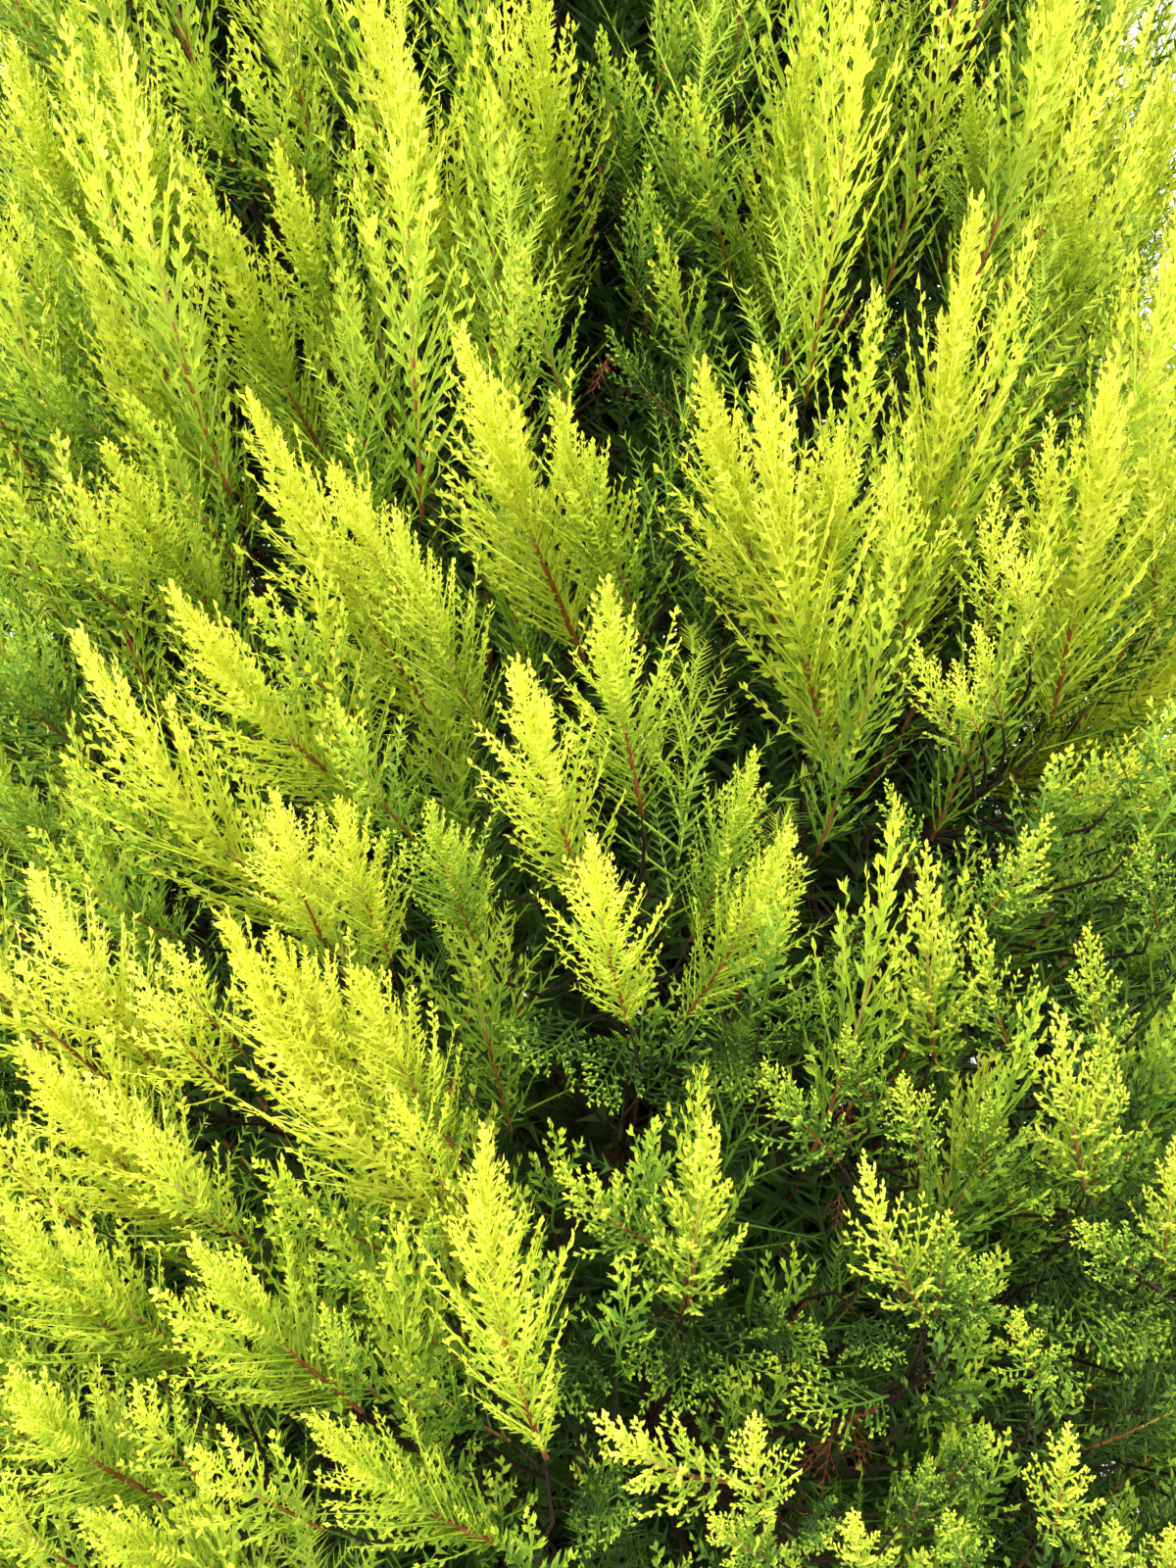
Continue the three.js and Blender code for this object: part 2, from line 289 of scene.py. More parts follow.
def wire(tree, *links):  # each link: a node, its output, the next node and its input
    for giver, output, taker, entry in links:
        tree.links.new(giver.outputs[output], taker.inputs[entry])


# leaf tone: broad patches of painted light and shade from one spray to the next, between the shaded and the
# lit tone, and a fine grain of scale leaves along each cord
def makeLeafGroup():
    tree = newGroup("leafTone", {"Shaded": None, "Lit": None, "Patch Scale": 14.0, "Scale Leaves": 900.0})
    given, out = addNode(tree, "NodeGroupInput"), addNode(tree, "NodeGroupOutput")
    place = addNode(tree, "ShaderNodeTexCoord")
    patch = addNode(tree, "ShaderNodeTexNoise", {"Detail": 3.0})
    grain = addNode(tree, "ShaderNodeTexNoise", {"Detail": 2.0})
    spread = addNode(tree, "ShaderNodeMapRange", {"From Min": 0.3, "From Max": 0.7})
    rough = addNode(tree, "ShaderNodeMapRange", {"To Min": 0.42, "To Max": 0.68})
    tone = addNode(tree, "ShaderNodeMix")
    tone.data_type = "RGBA"
    wire(tree, (place, "Object", patch, "Vector"), (place, "Object", grain, "Vector"),
         (given, "Patch Scale", patch, "Scale"), (given, "Scale Leaves", grain, "Scale"),
         (patch, "Fac", spread, "Value"), (spread, "Result", tone, "Factor"),
         (given, "Shaded", tone, "A"), (given, "Lit", tone, "B"), (grain, "Fac", rough, "Value"),
         (tone, "Result", out, "Color"), (rough, "Result", out, "Roughness"), (grain, "Fac", out, "Height"))
    return tree


# bark: fibres drawn out along the limb, lifted strips and the darker grooves between them
def makeBarkGroup():
    tree = newGroup("barkFibre", {"Groove": None, "Strip": None, "Scale": 60.0})
    given, out = addNode(tree, "NodeGroupInput"), addNode(tree, "NodeGroupOutput")
    place = addNode(tree, "ShaderNodeTexCoord")
    stretch = addNode(tree, "ShaderNodeMapping", {"Scale": (1.0, 1.0, 0.14)})
    fibre = addNode(tree, "ShaderNodeTexNoise", {"Detail": 6.0, "Roughness": 0.62})
    spread = addNode(tree, "ShaderNodeMapRange", {"From Min": 0.34, "From Max": 0.66})
    rough = addNode(tree, "ShaderNodeMapRange", {"To Min": 0.9, "To Max": 0.66})
    tone = addNode(tree, "ShaderNodeMix")
    tone.data_type = "RGBA"
    wire(tree, (place, "Object", stretch, "Vector"), (stretch, "Vector", fibre, "Vector"),
         (given, "Scale", fibre, "Scale"), (fibre, "Fac", spread, "Value"), (fibre, "Fac", rough, "Value"),
         (spread, "Result", tone, "Factor"), (given, "Groove", tone, "A"), (given, "Strip", tone, "B"),
         (tone, "Result", out, "Color"), (rough, "Result", out, "Roughness"), (fibre, "Fac", out, "Height"))
    return tree


leafGroup = makeLeafGroup()
barkGroup = makeBarkGroup()
surfaces = {
    "specular": 0.25,
    "leafBump": (0.0004, 0.5),  # distance, strength
    "barkBump": (0.002, 0.6),
}


def makeMaterial(name, group, inputs, bump):
    material = bpy.data.materials.new(name)
    material.use_nodes = True
    tree = material.node_tree
    shader = tree.nodes["Principled BSDF"]
    shader.inputs["Specular IOR Level"].default_value = surfaces["specular"]
    effect = tree.nodes.new("ShaderNodeGroup")
    effect.node_tree = group
    for label, value in inputs.items():
        effect.inputs[label].default_value = value
    raised = addNode(tree, "ShaderNodeBump", {"Distance": surfaces[bump][0], "Strength": surfaces[bump][1]})
    wire(tree, (effect, "Color", shader, "Base Color"), (effect, "Roughness", shader, "Roughness"),
         (effect, "Height", raised, "Height"), (raised, "Normal", shader, "Normal"))
    return material


# leaf colours, from the lit tips to the depth of the crown, the darker ones also standing for painted shade:
# name, shaded tone, lit tone
leafColours = [
    ("lemonTip", "e8ec48", "f7f86a"),
    ("limeYellow", "dce43e", "ecf452"),
    ("lime", "c4d637", "d8e646"),
    ("leafGreen", "a2bb2f", "bad140"),
    ("midGreen", "779b29", "90b133"),
    ("deepGreen", "4f731d", "679028"),
    ("shadeGreen", "2a4212", "3e5b18"),
]
leafMaterials = [
    makeMaterial(name, leafGroup, {"Shaded": linear(dark), "Lit": linear(light)}, "leafBump")
    for name, dark, light in leafColours
]
woodColours = {  # groove, strip, fibre scale per metre
    "trunkBark": ("3a2317", "8a5a40", 70.0),
    "darkTwig": ("1c120b", "3a2719", 200.0),
    "redTwig": ("743a1e", "b4703c", 260.0),
    "tanShoot": ("a0803a", "cdb862", 300.0),
    "deadSpray": ("4c2012", "7e3c22", 300.0),
}
woodMaterials = {}
for name, (dark, light, scale) in woodColours.items():
    inputs = {"Groove": linear(dark), "Strip": linear(light), "Scale": scale}
    woodMaterials[name] = makeMaterial(name, barkGroup, inputs, "barkBump")
print("materials made:", len(leafMaterials) + len(woodMaterials))


def makePiece(name, points, faces, material, replaced):
    mesh = bpy.data.meshes.new(name)
    mesh.vertices.add(len(points))
    mesh.vertices.foreach_set("co", points.astype(np.float32).ravel())
    mesh.loops.add(faces.size)
    mesh.loops.foreach_set("vertex_index", faces.astype(np.int32).ravel())
    mesh.polygons.add(len(faces))
    mesh.polygons.foreach_set("loop_start", np.arange(0, faces.size, faces.shape[1], dtype=np.int32))
    mesh.polygons.foreach_set("use_smooth", np.ones(len(faces), bool))
    mesh.update(calc_edges=True)
    mesh.materials.append(material)
    piece = bpy.data.objects.new(name, mesh)
    bpy.context.scene.collection.objects.link(piece)
    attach(piece, "root")
    if replaced:
        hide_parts(*replaced)
    return piece


# the trunk
trunkForm = {
    "top": 2.53,
    "footRadius": 0.048,
    "topRadius": 0.006,
    "taper": 0.85,
    "flareRadius": 0.028,
    "flareHeight": 0.08,
    "flareLobes": 5,
    "flareLobeDepth": 0.25,
    "sway": 0.006,
    "lean": 0.016,
    "sides": 96,
    "rings": 260,
    "relief": 0.0035,  # depth of the grooves between the bark's strips
}


def trunkCentre(z):
    t = np.asarray(z, float) / crown["height"]
    x = trunkForm["sway"] * np.sin(t * 7.5) + trunkForm["lean"] * t * t
    y = trunkForm["sway"] * np.sin(t * 5.5)
    return np.stack([x, y, np.asarray(z, float)], axis=-1)


def trunkRadius(z):
    share = (np.asarray(z, float) / trunkForm["top"]) ** trunkForm["taper"]
    return mix(trunkForm["footRadius"], trunkForm["topRadius"], share)


# relief = depth * (ridged sum of waves round the stem that drift slowly along it), between -1 and 0
def barkRelief(turn, z, lobes):
    drift = 1.1 * np.sin(z * 3.1) + 0.5 * np.sin(z * 11.0 + 1.0)
    broad = np.abs(np.sin(lobes * turn / 2 + drift + 0.6 * np.sin(z * 23.0 + 2 * turn)))
    fine = np.abs(np.sin(lobes * 1.5 * turn + 2.3 * drift + 0.9 * np.sin(z * 41.0 - 3 * turn)))
    return -((1 - broad) ** 2 * 0.7 + (1 - fine) ** 2 * 0.3)


# radius = taper + flare * lobes + relief, at every turn and height
def makeTrunkMesh():
    z = trunkForm["top"] * np.linspace(0, 1, trunkForm["rings"]) ** 1.25
    turn = np.arange(trunkForm["sides"]) / trunkForm["sides"] * 2 * math.pi
    flare = trunkForm["flareRadius"] * np.exp(-z / trunkForm["flareHeight"])
    lobeDepth = trunkForm["flareLobeDepth"]
    lobe = 1 - lobeDepth + lobeDepth * np.cos(trunkForm["flareLobes"] * turn + 0.6)
    base = trunkRadius(z)
    size = np.clip(base / trunkForm["footRadius"], 0.15, 1)
    depth = trunkForm["relief"] * size[:, None] * barkRelief(turn[None], z[:, None], 14)
    r = base[:, None] + flare[:, None] * lobe[None] + depth
    centre = trunkCentre(z)
    points = np.stack([centre[:, :1] + r * np.cos(turn), centre[:, 1:2] + r * np.sin(turn),
                       np.broadcast_to(z[:, None], r.shape)], -1)
    sides, rings = trunkForm["sides"], trunkForm["rings"]
    k, i = np.meshgrid(np.arange(rings - 1), np.arange(sides), indexing="ij")
    a, b = k * sides + i, k * sides + (i + 1) % sides
    faces = [np.stack([a, b, b + sides], -1).reshape(-1, 3),
             np.stack([a, b + sides, a + sides], -1).reshape(-1, 3)]
    flat = np.concatenate([points.reshape(-1, 3), [[0, 0, 0], trunkCentre(trunkForm["top"])]])
    flat[-2] = trunkCentre(0.0)
    ring = np.arange(sides)
    bottom, top = len(flat) - 2, len(flat) - 1
    faces.append(np.stack([(ring + 1) % sides, ring, np.full(sides, bottom)], -1))
    last = (rings - 1) * sides
    faces.append(np.stack([last + ring, last + (ring + 1) % sides, np.full(sides, top)], -1))
    return flat, np.concatenate(faces)


points, faces = makeTrunkMesh()
makePiece("trunkBark", points, faces, woodMaterials["trunkBark"], ["trunk"])
print("trunk done:", len(faces), "faces")

# the limbs: a bough and the stem that carries on from it, as one rising curve for each cell
limbForm = {
    "boughReach": 0.42,
    "boughRoot": 0.36,
    "stemReach": 0.80,
    "tipShare": 0.12,  # radius at the stem's end, as a share of that at the trunk
    "rings": 26,
    "sides": 14,
    "relief": 0.09,  # depth of the bark's grooves as a share of the radius
}
cells = makeCells()
cellMiddle = np.array([c["middle"] for c in cells])
cellTurn = np.array([c["turn"] for c in cells])
cellReach = reachOf(cellMiddle)


# point = rising curve at r, drawn in to the trunk's own centre at its root
def limbLine(index, shares):
    r = cellReach[index][..., None] * limbForm["stemReach"] * shares
    points = limbPoint(cellMiddle[index][..., None], cellTurn[index][..., None], r)
    aside = trunkCentre(cellMiddle[index]) * np.array([1, 1, 0])
    bough = limbForm["boughReach"] / limbForm["stemReach"]
    return points + aside[..., None, :] * np.clip(1 - shares / bough, 0, 1)[..., :, None]


def limbRadius(index, shares):
    root = trunkRadius(cellMiddle[index]) * limbForm["boughRoot"]
    return root[..., None] * mix(1.0, limbForm["tipShare"], shares ** 0.8)


def makeLimbs():
    shares = np.linspace(0, 1, limbForm["rings"])
    index = np.arange(len(cells))
    paths = limbLine(index, shares)
    radii = limbRadius(index, shares)
    points, faces = sweep(paths, radii, limbForm["sides"], pointed=True, capFoot=True)
    sides, rings = limbForm["sides"], limbForm["rings"]
    turn = np.arange(sides) / sides * 2 * math.pi
    skin = points[:, :-1].reshape(len(cells), rings - 1, sides, 3)
    centre = paths[:, :-1, None, :]
    wave = barkRelief(turn[None, None], shares[None, :-1, None] * 0.6 + index[:, None, None], 6)
    skin = centre + (skin - centre) * (1 + limbForm["relief"] * wave[..., None])
    points = np.concatenate([skin.reshape(len(cells), -1, 3), points[:, -1:]], axis=1)
    return gather(points, faces)


points, faces = makeLimbs()
makePiece("boughBark", points, faces, woodMaterials["darkTwig"], boughNodes)
print("limbs done:", len(faces), "faces")


# one plume of each kind, of unit length along Z: laterals in a spiral, branchlets on them, teeth on those
# bare: share of the axis without laterals; spread, least: their lengths; leans: their angles, foot and tip;
# ease: how far they straighten; reach, opening, cord: a branchlet's length, angles and radius;
# tooth: a share of the branchlet; rib, axis: radii; open: half the sector that every other plume leaves free
plumeKinds = {
    "feather": {"laterals": 50, "bare": 0.02, "spread": 0.46, "least": 0.020, "leans": (32, 13), "ease": 0.38,
                "branchlets": 20, "reach": 0.054, "opening": (26, 44), "cord": 0.0048, "teeth": 2,
                "tooth": 0.40, "rib": 0.0040, "axis": 0.0062, "open": 36},
    "light": {"laterals": 31, "bare": 0.02, "spread": 0.41, "least": 0.022, "leans": (33, 14), "ease": 0.38,
              "branchlets": 13, "reach": 0.068, "opening": (26, 44), "cord": 0.0058, "teeth": 1,
              "tooth": 0.46, "rib": 0.0044, "axis": 0.0056, "open": 24},
    "stout": {"laterals": 31, "bare": 0.04, "spread": 0.34, "least": 0.040, "leans": (46, 18), "ease": 0.40,
              "branchlets": 11, "reach": 0.078, "opening": (30, 48), "cord": 0.0076, "teeth": 3,
              "tooth": 0.30, "rib": 0.0055, "axis": 0.0080, "knobs": True},
    "frond": {"laterals": 18, "bare": 0.05, "spread": 0.38, "least": 0.05, "leans": (50, 32), "ease": 0.30,
              "branchlets": 9, "reach": 0.105, "opening": (30, 44), "cord": 0.0100, "teeth": 2,
              "tooth": 0.36, "rib": 0.0065, "axis": 0.0100, "knobs": True, "flat": True},
    "tuft": {"laterals": 13, "bare": 0.05, "spread": 0.42, "least": 0.09, "leans": (50, 24), "ease": 0.40,
             "branchlets": 8, "reach": 0.140, "opening": (30, 48), "cord": 0.0135, "teeth": 2,
             "tooth": 0.40, "rib": 0.0085, "axis": 0.0110},
    "withered": {"laterals": 9, "bare": 0.10, "spread": 0.42, "least": 0.06, "leans": (52, 34), "ease": 0.20,
                 "branchlets": 5, "reach": 0.14, "opening": (30, 60), "cord": 0.0110, "teeth": 2,
                 "tooth": 0.36, "rib": 0.0110, "axis": 0.0160, "flat": True},
}
greenAxes = ("frond", "tuft", "spray", "deep")  # kinds with no red-brown at the foot
toneRule = {
    "steps": (0.76, 0.57, 0.40, 0.24),  # how far out a branchlet stands, for each of the paler tones
    "lateral": 0.43,  # how much its place on the lateral counts
    "plume": 0.67,  # and the lateral's on the plume
    "scatter": 0.06,
}


# 0 for the palest, furthest out; outer = lateral share * s + plume share * along + a random part
def toneOf(s, along, rng):
    outer = toneRule["lateral"] * s + toneRule["plume"] * along
    outer = outer + rng.normal(0, toneRule["scatter"], outer.shape)
    return np.digitize(-outer, [-step for step in toneRule["steps"]])


lateralForm = {
    "last": 0.955,  # where the last one stands on the axis
    "stray": 0.008,
    "turnStray": 0.35,
    "leanStray": 4,  # degrees
    "shortest": 0.78,
    "openUpTo": 0.42,  # the free sector, where the stem shows, closes here
    "openFade": 0.12,
}


# length = spread * profile + least, the profile being ((1 - along) / 0.76)^1.1 * (0.38 + 2.1 * along),
# neither part over 1; low down the laterals of every other plume leave a sector about its x free
def lateralPlan(form, seed, rng, rise, longest):
    count = form["laterals"]
    stray, turnStray, leanStray = lateralForm["stray"], lateralForm["turnStray"], lateralForm["leanStray"]
    share = np.arange(count) / (count - 1)
    along = mix(form["bare"], lateralForm["last"], share ** rise) + rng.uniform(-stray, stray, count)
    turn = np.arange(count) * (math.pi if form.get("flat") else goldenAngle)
    turn = turn + rng.uniform(-turnStray, turnStray, count)
    if form.get("open") and seed % 2:
        closing = np.clip((lateralForm["openUpTo"] - along) / lateralForm["openFade"], 0, 1)
        free = math.radians(form["open"]) * closing
        turn = (turn + math.pi) % (2 * math.pi) - math.pi
        turn = np.sign(turn) * mix(free, math.pi, np.abs(turn) / math.pi)
    full = np.clip((1 - along) / 0.76, 0, 1) ** 1.1 * np.clip(0.38 + 2.1 * along, 0, 1)
    length = form["spread"] * full * rng.uniform(lateralForm["shortest"], longest, count) + form["least"]
    lean = np.radians(mix(*form["leans"], share) + rng.uniform(-leanStray, leanStray, count))
    outward = np.stack([np.cos(turn), np.sin(turn), np.zeros(count)], -1)
    tangent = np.stack([-np.sin(turn), np.cos(turn), np.zeros(count)], -1)
    return along, length, lean, outward, tangent


# a spindle of six faces: its foot, three corners round its widest place, its tip
def bud(foot, reach, radius, flank):
    over = np.cross(unit(reach), flank)
    a = np.arange(3) / 3 * 2 * math.pi
    ring = np.cos(a)[:, None] * flank[:, None] + np.sin(a)[:, None] * over[:, None]
    widest = (foot + 0.56 * reach)[:, None] + radius[:, None, None] * ring
    points = np.concatenate([foot[:, None], widest, (foot + reach)[:, None]], axis=1)
    return points, np.array([[0, 2, 1], [0, 3, 2], [0, 1, 3], [4, 1, 2], [4, 2, 3], [4, 3, 1]])


# a kite of two faces, folded along the line from its foot to its tip and rolled about it
def blade(foot, reach, radius, flank, roll):
    over = np.cross(unit(reach), flank)
    across = np.cos(roll)[:, None] * flank + np.sin(roll)[:, None] * over
    half = radius[:, None] * across
    fold = 0.5 * radius[:, None] * np.cross(unit(reach), across)
    middle = foot + 0.52 * reach
    corners = [foot, middle + half - fold, foot + reach, middle - half - fold]
    return np.stack(corners, 1), np.array([[0, 1, 2], [0, 2, 3]])


upward = np.array([0.0, 0.0, 1.0])
branchletForm = {
    "ends": (0.06, 0.98),  # where the first and the last stand on a lateral
    "crowding": 0.85,
    "stray": 0.6,  # radians out of the lateral's own flat
    "footSize": 1.16,
    "sizeDrop": 0.72,  # from the lateral's foot to its tip
    "sizes": (0.78, 1.18),
    "tipSize": 0.45,  # the one straight on from the tip
    "sunk": 0.24,  # share of it that starts inside the lateral
    "longer": 1.2,
    "bladeWidth": 1.35,  # over a cord's radius
    "bladeRoll": 0.7,
    "toothSlant": (0.80, 0.60),  # forward and out
    "flatTooth": 0.34,  # half its foot, as a share of its length
    "greenFrom": 0.45,  # laterals above this are a tone paler
}


# lateral: root + s * length * (sin angle * outward + cos angle * Z), its angle easing off along it
# branchlet: cos opening * lateral + sin opening * sideways, left and right in turn, shorter towards the end
# tooth: on a branchlet's edge, its tip forward and out
# knobbly kinds have spindles with pointed buds for teeth, the others have folded blades with flat teeth
def growPlume(kind, seed):
    form = plumeKinds[kind]
    rng = np.random.default_rng(seed)
    along, length, lean, outward, tangent = lateralPlan(form, seed, rng, rise=1.22, longest=1.18)
    count = form["laterals"]

    def heading(j, s, ease):
        angle = lean[j] * (1 - ease * s)
        return np.sin(angle)[..., None] * outward[j] + np.cos(angle)[..., None] * upward

    def lateralPoint(j, s):
        return along[j][..., None] * upward + (length[j] * s)[..., None] * heading(j, s, form["ease"] / 2)

    tones = [[] for step in range(len(toneRule["steps"]) + 1)]

    def deal(points, faces, level):
        for tone in range(len(tones)):
            if (level == tone).any():
                tones[tone].append(gather(points[level == tone], faces))

    j = np.repeat(np.arange(count)[:, None], 3, axis=1)
    s = np.broadcast_to(np.linspace(0, 1, 3), j.shape)
    points, faces = sweep(lateralPoint(j, s), form["rib"] * mix(1.0, 0.6, s), 3)
    deal(points, faces, np.where(along < branchletForm["greenFrom"], 3, 2))

    crowding, stray = branchletForm["crowding"], branchletForm["stray"]
    number = np.maximum(2, np.round(form["branchlets"] * (length / length.max()) ** 0.85)).astype(int)
    j = np.repeat(np.arange(count), number)
    first = np.concatenate([[0], np.cumsum(number)[:-1]])
    i = np.arange(len(j)) - first[j]
    s = mix(*branchletForm["ends"], ((i + 0.5) / number[j]) ** crowding) + rng.uniform(-0.012, 0.012, len(j))
    spin = np.where(i % 2 == 0, 0.0, math.pi) + rng.uniform(-stray, stray, len(j))
    opening = np.radians(rng.uniform(*form["opening"], len(j)))
    size = form["reach"] * (branchletForm["footSize"] - branchletForm["sizeDrop"] * s)
    size = size * rng.uniform(*branchletForm["sizes"], len(j))
    size = size * np.clip(length[j] / length.max(), 0.3, 1) ** 0.5
    # and one straight on from each lateral's tip
    j = np.concatenate([j, np.arange(count)])
    s = np.concatenate([s, np.full(count, 0.97)])
    spin = np.concatenate([spin, np.zeros(count)])
    opening = np.concatenate([opening, np.zeros(count)])
    size = np.concatenate([size, np.full(count, form["reach"] * branchletForm["tipSize"])])

    ahead = heading(j, s, form["ease"])
    sideways = np.cos(spin)[:, None] * tangent[j] + np.sin(spin)[:, None] * np.cross(ahead, tangent[j])
    forward = np.cos(opening)[:, None] * ahead + np.sin(opening)[:, None] * sideways
    flank = np.cos(opening)[:, None] * sideways - np.sin(opening)[:, None] * ahead
    reach = size[:, None] * forward
    foot = lateralPoint(j, s) - branchletForm["sunk"] * reach
    cord = form["cord"] * rng.uniform(0.85, 1.12, len(j)) * (1.06 - 0.22 * s)
    level = toneOf(s, along[j], rng)
    whole = branchletForm["longer"] * reach
    if form.get("knobs"):
        deal(*bud(foot, whole, cord, flank), level)
    else:
        roll = rng.uniform(-branchletForm["bladeRoll"], branchletForm["bladeRoll"], len(j))
        deal(*blade(foot, whole, branchletForm["bladeWidth"] * cord, flank, roll), level)
    forwards, outwards = branchletForm["toothSlant"]
    for k in range(form["teeth"]):
        at = mix(0.36, 0.94, (k + 0.5) / form["teeth"])
        side = 1 if k % 2 else -1
        spot = foot + at * reach
        long = (form["tooth"] * size * (1.15 - 0.5 * at) * rng.uniform(0.8, 1.2, len(j)))[:, None]
        tip = spot + long * (forwards * forward + outwards * side * flank)
        if form.get("knobs"):
            points, faces = sweep(np.stack([spot, tip], 1), np.stack([0.95 * cord, 0 * cord], 1), 3)
        else:
            half = branchletForm["flatTooth"] * long * forward
            points, faces = np.stack([spot - half, spot + half, tip], 1), np.array([[0, 1, 2]])
        deal(points, faces, np.maximum(level - (at > 0.75), 0))

    # the plume's own axis: woody, then tan, then green
    u = np.linspace(0, 1, 13)
    sway = 0.006 * np.sin(u * 9 + rng.uniform(0, 6)) * u
    path = np.stack([sway, 0.006 * np.sin(u * 7 + 1) * u, u], -1)[None]
    thick = form["axis"] * mix(1.0, 0.3, u)[None]
    tones[1].append(gather(*sweep(path[:, 8:], thick[:, 8:], 4)))
    grown = {"tone%d" % k: join(parts) for k, parts in enumerate(tones) if parts}
    grown["wood"] = gather(*sweep(path[:, :6], thick[:, :6], 5, pointed=False, capFoot=True))
    grown["shoot"] = gather(*sweep(path[:, 5:9], thick[:, 5:9], 5, pointed=False))
    if kind in greenAxes:
        grown["tone3"] = join([grown["tone3"], grown.pop("wood"), grown.pop("shoot")])
    return grown


# plainer plumes: each lateral is a folded feather whose teeth are its branchlets
feathered = {
    "body": {"laterals": 30, "bare": 0.02, "spread": 0.37, "least": 0.02, "leans": (31, 13), "teeth": 10,
             "tooth": 0.048, "axis": 0.004, "open": 40},  # inside the detailed feather plumes
    "spray": {"laterals": 26, "bare": 0.03, "spread": 0.40, "least": 0.03, "leans": (46, 20), "teeth": 11,
              "tooth": 0.058, "axis": 0.004},  # behind them, where the camera looks in
    "far": {"laterals": 18, "bare": 0.03, "spread": 0.38, "least": 0.03, "leans": (42, 20), "teeth": 5,
            "tooth": 0.128, "axis": 0.006},  # on the rest of the crown
    "deep": {"laterals": 11, "bare": 0.03, "spread": 0.45, "least": 0.05, "leans": (60, 25), "teeth": 3,
             "tooth": 0.36, "axis": 0.010},  # under those
}
featheredForm = {
    "lean": 0.85,  # laterals are straight, at this share of their lean
    "toothFoot": 0.42,  # as a share of the teeth's spacing
    "toothSlant": (0.8, 0.66),  # forward and out
    "fold": 0.5,
    "ribLength": 1.12,  # past the last tooth
}


# tooth: a triangle from the rib at s to the rib at s + its foot, its tip forward and out
def growFeathered(kind, seed):
    form = feathered[kind]
    rng = np.random.default_rng(seed)
    along, length, lean, outward, tangent = lateralPlan(form, seed, rng, rise=0.95, longest=1.14)
    teeth = form["teeth"]
    root = along[:, None] * upward
    lean = lean * featheredForm["lean"]
    ahead = np.sin(lean)[:, None] * outward + np.cos(lean)[:, None] * upward
    over = np.cross(ahead, tangent)
    s = (np.arange(teeth) + 0.3) / teeth
    end = s + featheredForm["toothFoot"] / teeth
    low = root[:, None] + (length[:, None] * s)[..., None] * ahead[:, None]
    high = root[:, None] + (length[:, None] * end)[..., None] * ahead[:, None]
    level = toneOf(s, along[:, None], rng)
    long = form["tooth"] * (1.05 - 0.5 * s) * rng.uniform(0.8, 1.15, low.shape[:2])
    long = long * np.clip(length / length.max(), 0.4, 1)[:, None] ** 0.4
    tones = [[] for step in range(len(toneRule["steps"]) + 1)]
    forwards, outwards = featheredForm["toothSlant"]
    for side in (1, -1):
        fold = rng.uniform(-featheredForm["fold"], featheredForm["fold"], low.shape[:2])[..., None]
        forward = unit(forwards * ahead[:, None] + outwards * side * tangent[:, None] + fold * over[:, None])
        corners = np.stack([low, (low + high) / 2 + long[..., None] * forward, high], 2)[:, :, ::-side]
        for tone in range(len(tones)):
            tones[tone].append(gather(corners[level == tone], np.array([[0, 1, 2]])))
    paths = np.stack([root, root + (length * featheredForm["ribLength"])[:, None] * ahead], 1)
    radii = np.broadcast_to([form["axis"], 0.0], paths.shape[:2])
    tones[1].append(gather(*sweep(paths, radii, 3)))
    u = np.linspace(0, 1, 5)
    path = np.stack([0 * u, 0 * u, u], -1)[None]
    thick = form["axis"] * mix(1.0, 0.35, u)[None]
    tones[1].append(gather(*sweep(path[:, 2:], thick[:, 2:], 3)))
    grown = {"tone%d" % k: join(parts) for k, parts in enumerate(tones)}
    grown["wood"] = gather(*sweep(path[:, :3], thick[:, :3], 3, pointed=False, capFoot=True))
    if kind in greenAxes:
        grown["tone3"] = join([grown["tone3"], grown.pop("wood")])
    return grown


def plumeFrame(feet, tips):  # along the plume, level across it, and above both
    ahead = unit(tips - feet)
    flat = unit(np.cross(upward, ahead + np.array([1e-4, 0, 0])))
    return ahead, flat, np.cross(ahead, flat)


def facingRoll(feet, tips):  # the roll that turns a plume's own x towards the camera
    ahead, flat, above = plumeFrame(feet, tips)
    toEye = eye - mix(feet, tips, 0.3)
    return np.arctan2((toEye * above).sum(1), (toEye * flat).sum(1))


# each plume in its place, bowed between its ends:
# point = foot + length * width * (x * side + y * up) + z * chord - arch * bow * length * above
def placePlume(mesh, feet, tips, roll, width, bow):
    points, faces = mesh
    chord = tips - feet
    length = np.linalg.norm(chord, axis=1)
    ahead, flat, above = plumeFrame(feet, tips)
    side = np.cos(roll)[:, None] * flat + np.sin(roll)[:, None] * above
    up = np.cross(ahead, side)
    x, y, z = points[None, :, 0], points[None, :, 1], points[None, :, 2]
    reach = (length * width)[:, None]
    placed = (feet[:, None] + (reach * x)[..., None] * side[:, None] + (reach * y)[..., None] * up[:, None]
              + z[..., None] * chord[:, None])
    arch = 4 * np.clip(z, 0, 1) * (1 - np.clip(z, 0, 1))
    placed = placed - (arch * (bow * length)[:, None])[..., None] * above[:, None]
    placed[..., 2] = np.maximum(placed[..., 2], crown["groundClear"])
    return gather(placed, faces)


sideNames = ["frontLeft", "frontRight", "backRight", "backLeft"]
leafBins = {}
woodBins = {}


def sideOf(points):  # which quarter of the crown a point is in
    turn = np.degrees(np.arctan2(points[:, 1], points[:, 0]))
    return np.floor((turn + 180) / 90).astype(int) % 4


